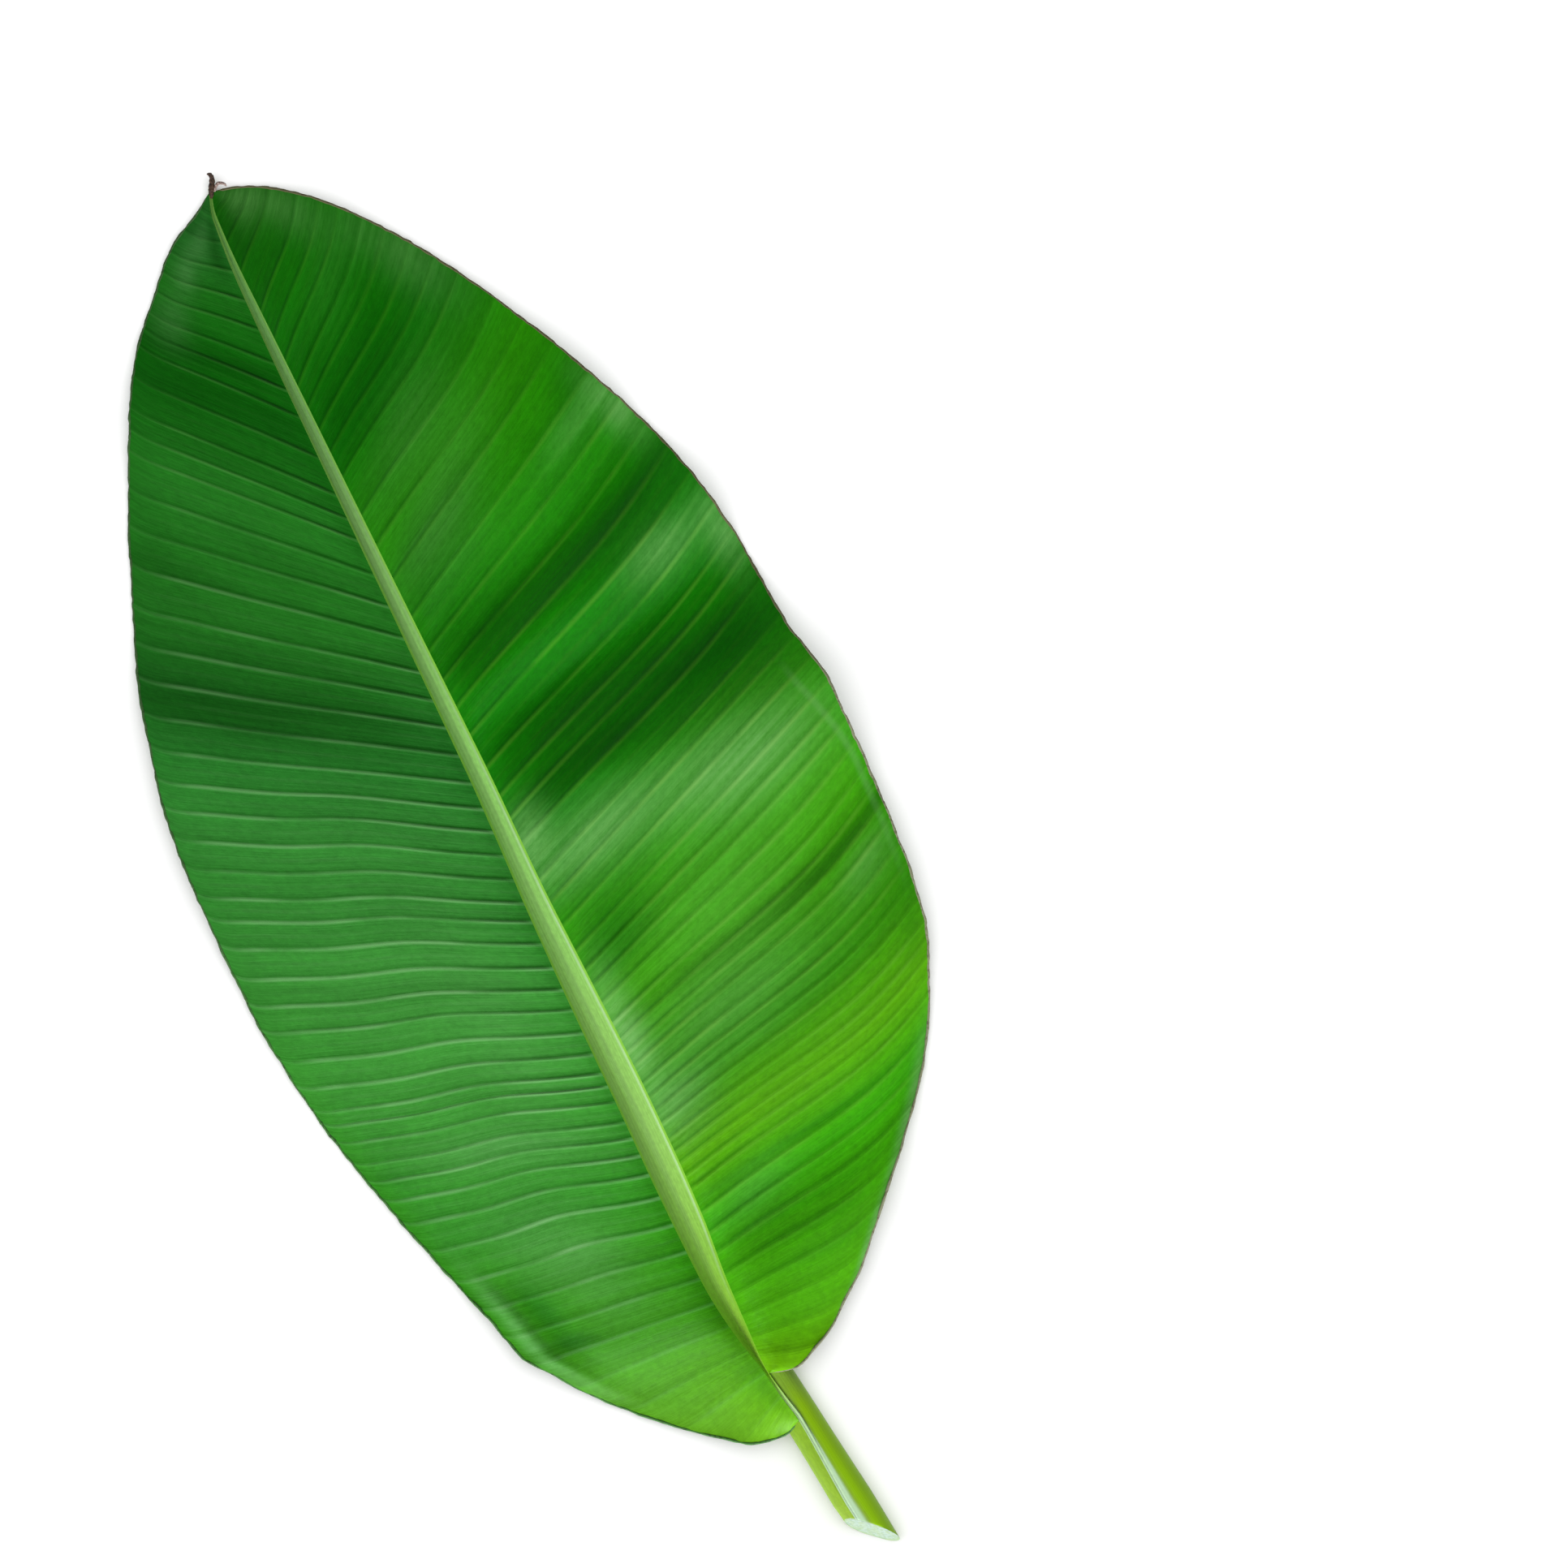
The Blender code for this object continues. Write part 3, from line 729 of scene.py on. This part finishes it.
def body_points(side, stations, steps):
    """Round side of the midrib or stalk, from its rim to its flattened keel."""
    centre, half = curve(BODY_CENTRE, stations), curve(BODY_WIDTH, stations) / 2
    drop = BLADE_THICKNESS * smooth(stations, *BLADE_MERGE)
    top = curve(RIM_HEIGHT, stations) - drop
    middle = top * BODY_MIDDLE
    root = rim(side, stations)
    offset = side * (root[:, 0] - centre)
    angle = np.minimum(np.arcsin(np.clip(offset / half, 0, 1)), WIDEST_ROOT_ANGLE)
    t = np.linspace(0, 1, steps + 1)[None]
    turn = angle[:, None] * (1 - t) + (math.pi - KEEL_FLAT_ANGLE) * t
    upper = (top - middle)[:, None] / np.cos(angle)[:, None]
    lower = middle[:, None] / math.cos(KEEL_FLAT_ANGLE)
    x = centre[:, None] + side * half[:, None] * np.sin(turn)
    z = middle[:, None] + np.where(np.cos(turn) > 0, upper, lower) * np.cos(turn)
    x[:, 0], z[:, 0] = root[:, 0], top
    z[:, -1] = 0.0
    y = stations[:, None] + 0 * x
    around = side * turn * half[:, None]
    return np.stack((x, y, z), axis=-1), np.stack((y, around, 1 + 0 * x), axis=-1)


def build_midrib(materials):
    """Midrib and stalk as one tube, with the slanted cut at one end."""
    stations = np.unique(np.concatenate((
        np.linspace(0, LEFT_START, STALK_ROWS), vein_rows(-1)[0][::2],
        np.linspace(BLADE_END, TIP_END, TIP_ROWS))))
    channel, channel_guide = channel_points(stations, FACE_COLUMNS)
    right, right_guide = body_points(1, stations, FACE_COLUMNS)
    left, left_guide = body_points(-1, stations, FACE_COLUMNS)
    ring = np.concatenate((channel, right, left[:, ::-1]), axis=1)
    guide = np.concatenate((channel_guide, right_guide, left_guide[:, ::-1]), axis=1)
    rows, cols = ring.shape[:2]
    raised = np.maximum(0, stations - BLADE_END)[:, None] * TIP_RISE
    ring[..., 2] = np.maximum(ring[..., 2], raised)
    top = curve(RIM_HEIGHT, 0)
    plane = CUT_TOP_Y - CUT_SLOPE_X * ring[..., 0] - CUT_SLOPE_Z * (top - ring[..., 2])
    ring[..., 1] += plane * np.clip(1 - stations / CUT_REACH, 0, 1)[:, None]
    faces = grid_faces(rows, cols, 0, False, wrap=True)
    channel_cols = channel.shape[1] - 1
    index = [0 if (k % cols) < channel_cols else 1 for k in range(len(faces))]
    points, guides = ring.reshape(-1, 3), guide.reshape(-1, 3)
    centre = ring[0].mean(axis=0)
    inward = np.array((CUT_SLOPE_X, 1.0, CUT_SLOPE_Z))
    inward /= np.linalg.norm(inward)
    last = 0
    for share, sunk in CUT_RINGS:
        inner = centre + (ring[0] - centre) * share + inward * sunk
        first = len(points)
        points = np.concatenate((points, inner))
        ring_guide = guide[0].copy()
        ring_guide[:, 2] = CUT_GUIDE + share
        guides = np.concatenate((guides, ring_guide))
        for k in range(cols):
            following = (k + 1) % cols
            faces.append([last + following, last + k, first + k, first + following])
            index.append(2)
        last = first
    faces.append([last + k for k in range(cols)][::-1])
    index.append(2)
    end = (rows - 1) * cols
    faces.append([end + k for k in range(cols)])
    index.append(1)
    return make_object("midrib", points, faces, guides, materials, index, 60)


def build_curl(name, path, radii, material, steps, sides, roughness):
    """Dried curl along a smooth path."""
    t = np.linspace(0, len(path) - 1, steps)
    table = [(k, *point) for k, point in enumerate(path)]
    line = np.stack([curve(table, t, column) for column in (1, 2, 3)], axis=-1)
    width = np.interp(t, np.arange(len(path)), radii) * (1 + roughness * ripple(t, CURL_WAVE, CURL_SEED))
    points, faces = close_tube(tube(line, width, sides))
    return make_object(name, points, faces, points, [material], [0] * len(faces), 70)


# Materials


class Paint:
    """Adds nodes to one new material."""

    def __init__(self, name):
        self.material = bpy.data.materials.new(name)
        self.material.use_nodes = True
        self.tree = self.material.node_tree
        self.shader = self.tree.nodes["Principled BSDF"]

    def socket(self, target, value):
        if isinstance(value, bpy.types.NodeSocket):
            self.tree.links.new(value, target)
        else:
            target.default_value = value

    def node(self, kind, inputs=None, **settings):
        made = self.tree.nodes.new(kind)
        for key, value in settings.items():
            setattr(made, key, value)
        for key, value in (inputs or {}).items():
            self.socket(made.inputs[key], value)
        return made

    def attribute(self, name):
        made = self.node("ShaderNodeAttribute", attribute_name=name, attribute_type="GEOMETRY")
        return made.outputs["Vector"]

    def split(self, vector):
        return self.node("ShaderNodeSeparateXYZ", {0: vector}).outputs

    def sum(self, operation, a, b=0.0, c=0.0, clamp=False):
        inputs = {0: a, 1: b} if operation != "MULTIPLY_ADD" else {0: a, 1: b, 2: c}
        return self.node("ShaderNodeMath", inputs, operation=operation, use_clamp=clamp).outputs[0]

    def product(self, *values):
        result = values[0]
        for value in values[1:]:
            result = self.sum("MULTIPLY", result, value)
        return result

    def span(self, value, low, high, to_low=0.0, to_high=1.0):
        inputs = {"Value": value, "From Min": low, "From Max": high, "To Min": to_low, "To Max": to_high}
        return self.node("ShaderNodeMapRange", inputs, interpolation_type="SMOOTHSTEP").outputs[0]

    def stretch(self, vector, sizes, shift=0.0):
        scale = self.node("ShaderNodeVectorMath", {0: vector, 1: sizes}, operation="DIVIDE").outputs[0]
        offset = (shift, shift * 1.7, shift * 0.3)
        return self.node("ShaderNodeVectorMath", {0: scale, 1: offset}, operation="ADD").outputs[0]

    def noise(self, vector, sizes, shift=0.0, detail=2.0, roughness=0.5):
        inputs = {"Vector": self.stretch(vector, sizes, shift), "Scale": 1.0}
        inputs.update({"Detail": detail, "Roughness": roughness})
        return self.node("ShaderNodeTexNoise", inputs).outputs[0]

    def mix(self, share, a, b, blend="MIX"):
        made = self.node("ShaderNodeMix", data_type="RGBA", blend_type=blend, clamp_factor=True)
        self.socket(made.inputs[0], share)
        self.socket(made.inputs[6], a)
        self.socket(made.inputs[7], b)
        return made.outputs[2]

    def ramp(self, share, stops):
        made = self.node("ShaderNodeValToRGB", {"Fac": share})
        elements = made.color_ramp.elements
        while len(elements) < len(stops):
            elements.new(0.5)
        for element, (place, colour) in zip(elements, stops):
            element.position, element.color = place, colour
        return made.outputs[0]

    def bump(self, height, depth, strength=1.0, normal=None):
        inputs = {"Height": height, "Distance": depth, "Strength": strength}
        if normal is not None:
            inputs["Normal"] = normal
        return self.node("ShaderNodeBump", inputs).outputs[0]

    def finish(self, colour, roughness, normal, **fixed):
        self.socket(self.shader.inputs["Base Color"], colour)
        self.socket(self.shader.inputs["Roughness"], roughness)
        self.socket(self.shader.inputs["Normal"], normal)
        for name, value in fixed.items():
            self.shader.inputs[name.replace("_", " ")].default_value = value
        return self.material


def vary(paint, colour, *textures):
    """Colour made lighter and darker by textures from 0 to 1, each given with its amount."""
    factors = [
        paint.sum("MULTIPLY_ADD", texture, amount, 1.0 - amount / 2) for texture, amount in textures
    ]
    value = paint.product(*factors)
    grey = paint.node("ShaderNodeCombineColor", {0: value, 1: value, 2: value}).outputs[0]
    return paint.mix(1.0, colour, grey, "MULTIPLY")


def tint(paint, share, colour, factor):
    """Colour multiplied by another one, by a share."""
    return paint.mix(share, colour, paint.mix(1.0, colour, factor, "MULTIPLY"))


def along_leaf(paint, station, stops):
    """Colour by share of the leaf's length."""
    share = paint.sum("DIVIDE", station, LENGTH)
    return paint.ramp(share, [(place, srgb(*tone)) for place, tone in stops])


def banded(paint, colour, places, table):
    """Colour with soft bands over it, each limited at one or more of the named places."""
    for tone, *limits in table:
        share = paint.product(*[paint.span(places[name], *ends) for name, *ends in limits])
        colour = paint.mix(share, colour, srgb(*tone))
    return colour


def vein_lines(paint, guide, phase, spacing, width, shift):
    """Thin soft lines on whole phases that come and go along their length."""
    beside = paint.product(paint.sum("PINGPONG", phase, 0.5), spacing)
    patchy = paint.span(paint.noise(guide, (9.0, 34.0, FLAT), shift), 0.3, 0.65, 0.25, 1.0)
    return paint.product(paint.span(beside, width, 0.15), patchy)


def vein_shade_lines(paint, past, spacing, across, fade):
    """Painted shade: a dark line just past each vein, weaker far from the midrib."""
    above = paint.product(past, spacing)
    line = paint.product(paint.span(above, *SHADE_LINE_START), paint.span(above, *SHADE_LINE_END))
    return paint.product(line, paint.span(across, *SHADE_LINE_REACH, 0.3, 1.0), fade)


def edge_fold_highlight(paint, station, from_edge):
    """Painted highlight: a soft pale line beside the edge, along the first full bulge."""
    bend = paint.span(station, *FOLD_BEND, *FOLD_PLACE)
    beside = paint.sum("ABSOLUTE", paint.sum("SUBTRACT", from_edge, bend))
    ends = paint.product(paint.span(station, *FOLD_START), paint.span(station, *FOLD_END))
    return paint.product(ends, paint.span(beside, FOLD_WIDTH, 0.1))


def blade_material(name, stops, look):
    """Waxy green upper face: colour by station, painted sheen and shade patches, pale veins and painted
    shade past each.
    """
    paint = Paint(name)
    guide = paint.attribute("guide")
    phase, spacing, _ = paint.split(paint.attribute("vein"))
    # Shares of painted sheen, painted shade and fresh colour
    pale, dark, fresh = paint.split(paint.attribute("sheen_shade_fresh"))
    station, across, from_edge = paint.split(guide)
    past = paint.sum("FRACT", phase)
    grain = {kind: paint.noise(guide, *sizes) for kind, sizes in GRAIN.items()}
    fine, streak, blotch, mottle = (grain[kind] for kind in ("fine", "streak", "blotch", "mottle"))
    colour = along_leaf(paint, station, [(s / LENGTH, tone) for s, tone in stops])
    amounts = [(grain[kind], amount) for kind, amount in GRAIN_AMOUNT.items()]
    # Each panel is darker just past its vein and lighter towards the next as painted shade; the grain
    # varies it at random
    colour = vary(paint, colour, (past, look["panel_shade"]), *amounts)
    colour = tint(paint, fresh, colour, FRESH_TINT)
    # Painted shade in the dark patches
    colour = tint(paint, dark, colour, PAINTED_SHADE_TINT)
    fade = paint.product(
        paint.span(station, *VEINS_APPEAR, 0.15, 1.0), paint.span(from_edge, *EDGE_FADE, 0.3, 1.0))
    shade_lines = vein_shade_lines(paint, past, spacing, across, fade)
    # Painted shade line just past each vein
    colour = tint(paint, paint.product(shade_lines, look["shade_line"]), colour, PAINTED_SHADE_TINT)
    # Painted sheen: the pale patches whiten the colour, cloudy and more so towards the next vein
    cloudy = paint.sum("MULTIPLY_ADD", streak, 1.2, paint.sum("MULTIPLY_ADD", fine, 0.6, -0.5))
    cloudy = paint.sum("ADD", cloudy, paint.sum("MULTIPLY_ADD", mottle, 0.6, paint.product(past, 0.25)))
    colour = paint.mix(paint.sum("MULTIPLY", pale, cloudy, clamp=True), colour, srgb(*look["pale"]))
    # Painted highlight along the fold of the right edge
    fold_highlight = paint.product(edge_fold_highlight(paint, station, from_edge), look["fold_highlight"])
    colour = paint.mix(fold_highlight, colour, srgb(*look["pale"]))
    major = vein_lines(paint, guide, phase, spacing, look["width"], 12.0)
    # Veins show more in the painted sheen and less in the painted shade
    major = paint.product(major, paint.sum("MULTIPLY_ADD", pale, 0.6, look["share"]))
    minor = vein_lines(paint, guide, paint.sum("ADD", phase, 0.5), spacing, look["width"], 31.0)
    minor = paint.product(minor, paint.sum("MULTIPLY_ADD", pale, 0.12, look["minor"]))
    line = paint.product(paint.sum("MAXIMUM", major, minor), paint.sum("MULTIPLY_ADD", dark, -0.6, 1.0))
    near_tip = paint.span(station, *NEAR_TIP)
    vein_colour = paint.mix(near_tip, srgb(*look["vein"]), srgb(*look["vein_near_tip"]))
    # Veins are whiter in the painted sheen
    vein_colour = paint.mix(paint.product(pale, 0.8), vein_colour, srgb(*VEIN_IN_SHEEN))
    colour = paint.mix(paint.product(line, fade), colour, vein_colour)
    height = paint.sum("MULTIPLY_ADD", mottle, 0.7, paint.sum("MULTIPLY_ADD", streak, 0.5, fine))
    rough = paint.sum("MULTIPLY_ADD", streak, 0.08, paint.sum("MULTIPLY_ADD", blotch, 0.14, 0.28))
    rough = paint.sum("MULTIPLY_ADD", fresh, 0.22, rough)
    return paint.finish(colour, rough, paint.bump(height, 0.00013), IOR=1.42, Specular_IOR_Level=0.16)


def under_material():
    """Paler, duller underside with a light bloom."""
    paint = Paint("blade_under")
    guide = paint.attribute("guide")
    phase, spacing, _ = paint.split(paint.attribute("vein"))
    station = paint.split(guide)[0]
    streak = paint.noise(guide, (1.6, 50.0, FLAT), 4.4)
    blotch = paint.noise(guide, (30.0, 40.0, FLAT), 8.1, 3.0)
    mottle = paint.noise(guide, (1.5, 2.2, FLAT), 6.0, 2.0, 0.6)
    colour = along_leaf(paint, station, UNDER_STOPS)
    colour = vary(paint, colour, (streak, 0.3), (blotch, 0.3), (mottle, 0.4))
    lines = vein_lines(paint, guide, phase, spacing, 1.2, 14.0)
    colour = paint.mix(paint.product(lines, 0.6), colour, srgb(150, 182, 112))
    rough = paint.sum("MULTIPLY_ADD", blotch, 0.15, 0.52)
    return paint.finish(colour, rough, paint.bump(streak, 0.00012))


def fibrous(paint, guide, colour, length, width, amount, shift):
    """Colour with long fibres and small speckles, and the fibres themselves."""
    fibre = paint.noise(guide, (length, width, FLAT), shift, 3.0, 0.6)
    cloud = paint.noise(guide, (length / 2, width * 7, FLAT), shift + 4.0)
    speckle = paint.noise(guide, (2.2, 1.2, FLAT), shift + 8.0)
    return vary(paint, colour, (fibre, amount), (cloud, 0.4), (speckle, 0.4)), fibre


def channel_material():
    """Pale hollow of the midrib: bright rims, a left wall in painted shade, a painted highlight on the
    right.
    """
    paint = Paint("midrib_channel")
    guide = paint.attribute("guide")
    station, across, rim_distance = paint.split(guide)
    colour = along_leaf(paint, station, CHANNEL_STOPS)
    colour, fibre = fibrous(paint, guide, colour, *CHANNEL_FIBRE)
    places = {"station": station, "across": across, "rim": rim_distance}
    colour = banded(paint, colour, places, CHANNEL_BANDS)
    return paint.finish(colour, 0.42, paint.bump(fibre, 0.00015), Specular_IOR_Level=0.25)


def stalk_material():
    """Yellow-green skin of the stalk and keel, with a painted highlight beside the slit and painted shade
    on the right.
    """
    paint = Paint("stalk_skin")
    guide = paint.attribute("guide")
    station, around, _ = paint.split(guide)
    colour = along_leaf(paint, station, STALK_STOPS)
    colour, fibre = fibrous(paint, guide, colour, *STALK_FIBRE)
    colour = banded(paint, colour, {"station": station, "around": around}, STALK_BANDS)
    return paint.finish(colour, 0.4, paint.bump(fibre, 0.00014), Specular_IOR_Level=0.16)


def cut_material():
    """Whitish wet cut with fine pores and a greener skin line."""
    paint = Paint("stalk_cut")
    depth = paint.split(paint.attribute("guide"))[2]
    place = paint.node("ShaderNodeTexCoord").outputs["Object"]
    pores = paint.noise(place, (0.0012, 0.0012, 0.0012), 3.0)
    cloud = paint.noise(place, (0.003, 0.003, 0.003), 5.0)
    places = {"depth": depth, "pores": pores, "cloud": cloud}
    colour = banded(paint, srgb(*CUT_SKIN), places, CUT_BANDS)
    return paint.finish(colour, 0.5, paint.bump(pores, 0.0003))


def edge_material(name, near_base, near_tip, speck, share):
    """Dry line along the edge, with small darker specks."""
    paint = Paint(name)
    guide = paint.attribute("guide")
    along = paint.split(guide)[0]
    specks = paint.noise(guide, (1.6, 4.0, FLAT), 4.0)
    colour = paint.mix(paint.span(along, *EDGE_TURN), srgb(*near_base), srgb(*near_tip))
    colour = paint.mix(paint.span(specks, 0.5, 0.68, 0.0, share), colour, srgb(*speck))
    return paint.finish(colour, 0.7, paint.bump(specks, 0.0001))


def dry_material(name, light, dark):
    """Shrivelled dead tissue."""
    paint = Paint(name)
    place = paint.node("ShaderNodeTexCoord").outputs["Object"]
    wrinkle = paint.noise(place, (0.0006, 0.0012, 0.0006), 1.0, 3.0, 0.6)
    colour = paint.mix(paint.span(wrinkle, 0.35, 0.7), srgb(*dark), srgb(*light))
    return paint.finish(colour, 0.75, paint.bump(wrinkle, 0.0004))


# Floor, lights and camera

# The photo's frame: where the middle of its picture lies on the leaf, and how the leaf is turned
VIEW_CENTRE = (0.0991, -0.0142)
VIEW_WIDTH = 0.6284
VIEW_TURN = math.radians(-26.15)
LEAF_LEVEL = 0.006
LENS = 100.0
SENSOR = 36.0

# Lights on the leaf: right and up in the picture and height, in metres, then size, power and colour
LEAF_LIGHTS = {
    "key": (-0.1, -1.55, 0.95, 0.7, 33.0, (1.0, 1.0, 1.0)),
    "sheen_left": (-0.35, -0.45, 1.7, 0.6, 1.5, (0.93, 0.97, 1.0)),
    "sheen_bands": (0.35, -0.85, 1.7, 0.5, 1.5, (0.95, 0.98, 1.0)),
}
FLOOR_LIGHT = (0.0, 0.1, 2.2, 4.5, 108.0, (1.0, 1.0, 1.0))

# Brightness of the surround at the horizon and high up, and how high that is
HORIZON_LEVEL = 0.9
TOP_LEVEL = 0.06
TOP_HEIGHT = 0.85

FLOOR_HALF = 4.0
FLOOR_DROP = 0.0004
FLOOR_WHITE = 0.92


def screen_direction(right, up):
    """Direction on the floor of a direction in the picture."""
    return Vector((right * math.cos(VIEW_TURN) - up * math.sin(VIEW_TURN),
                   right * math.sin(VIEW_TURN) + up * math.cos(VIEW_TURN), 0.0))


def build_camera():
    data = bpy.data.cameras.new("camera")
    data.lens, data.sensor_width = LENS, SENSOR
    camera = bpy.data.objects.new("camera", data)
    camera.location = (*VIEW_CENTRE, LEAF_LEVEL + VIEW_WIDTH * LENS / SENSOR)
    camera.rotation_euler = (0.0, 0.0, VIEW_TURN)
    bpy.context.scene.collection.objects.link(camera)
    bpy.context.scene.camera = camera


def area_light(name, right, up, height, size, power, colour, receivers):
    """Square soft light placed by the picture's directions from its middle, for some objects only."""
    data = bpy.data.lights.new(name, "AREA")
    data.shape, data.size, data.energy, data.color = "SQUARE", size, power, colour
    light = bpy.data.objects.new(name, data)
    light.location = screen_direction(right, up) + Vector((*VIEW_CENTRE, height))
    light.rotation_euler = light.location.to_track_quat("Z", "Y").to_euler()
    group = bpy.data.collections.new(name + "_receivers")
    for item in receivers:
        group.objects.link(item)
    light.light_linking.receiver_collection = group
    bpy.context.scene.collection.objects.link(light)


def build_world():
    """Soft surround, bright at the horizon and dimmer straight above."""
    world = bpy.data.worlds.new("studio")
    world.use_nodes = True
    tree = world.node_tree
    place = tree.nodes.new("ShaderNodeTexCoord")
    split = tree.nodes.new("ShaderNodeSeparateXYZ")
    ramp = tree.nodes.new("ShaderNodeValToRGB")
    low, high = ramp.color_ramp.elements
    low.color = (HORIZON_LEVEL, HORIZON_LEVEL, HORIZON_LEVEL, 1.0)
    high.position = TOP_HEIGHT
    high.color = (TOP_LEVEL, TOP_LEVEL, TOP_LEVEL, 1.0)
    tree.links.new(place.outputs["Generated"], split.inputs[0])
    tree.links.new(split.outputs["Z"], ramp.inputs["Fac"])
    tree.links.new(ramp.outputs[0], tree.nodes["Background"].inputs["Color"])
    tree.nodes["Background"].inputs["Strength"].default_value = 1.0
    bpy.context.scene.world = world


def build_floor():
    """Plain white floor."""
    paint = Paint("floor_white")
    paint.shader.inputs["Base Color"].default_value = (FLOOR_WHITE, FLOOR_WHITE, FLOOR_WHITE, 1.0)
    paint.shader.inputs["Roughness"].default_value = 0.9
    data = bpy.data.meshes.new("floor")
    corners = [(x * FLOOR_HALF, y * FLOOR_HALF, 0) for x, y in ((-1, -1), (1, -1), (1, 1), (-1, 1))]
    data.from_pydata(corners, [], [(0, 1, 2, 3)])
    data.materials.append(paint.material)
    floor = bpy.data.objects.new("floor", data)
    floor.location.z = -FLOOR_DROP
    bpy.context.scene.collection.objects.link(floor)
    return floor


def main():
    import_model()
    under = under_material()
    left_top = blade_material("blade_left", LEFT_STOPS, LEFT_LOOK)
    right_top = blade_material("blade_right", RIGHT_STOPS, RIGHT_LOOK)
    blade_left, left = build_blade(-1, "blade_left", [left_top, under])
    blade_right, right = build_blade(1, "blade_right", [right_top, under])
    green, dry = edge_material(*GREEN_EDGE), edge_material(*DRY_EDGE)
    brown, pale = dry_material(*DRIED_BROWN), dry_material(*DRIED_PALE)
    leaf = [
        blade_left, blade_right,
        build_midrib([channel_material(), stalk_material(), cut_material()]),
        build_edge(-1, "edge_left", left, green),
        build_edge(1, "edge_right", right, dry),
        build_curl("dried_tip", HOOK_PATH, HOOK_RADII, brown, **HOOK_MESH),
        build_curl("dried_shred", SHRED_PATH, SHRED_RADII, pale, **SHRED_MESH),
    ]
    floor = build_floor()
    build_world()
    for name, values in LEAF_LIGHTS.items():
        area_light(name, *values, leaf)
    area_light("overhead", *FLOOR_LIGHT, [floor])
    build_camera()
    bpy.context.scene.view_settings.view_transform = "Standard"


main()
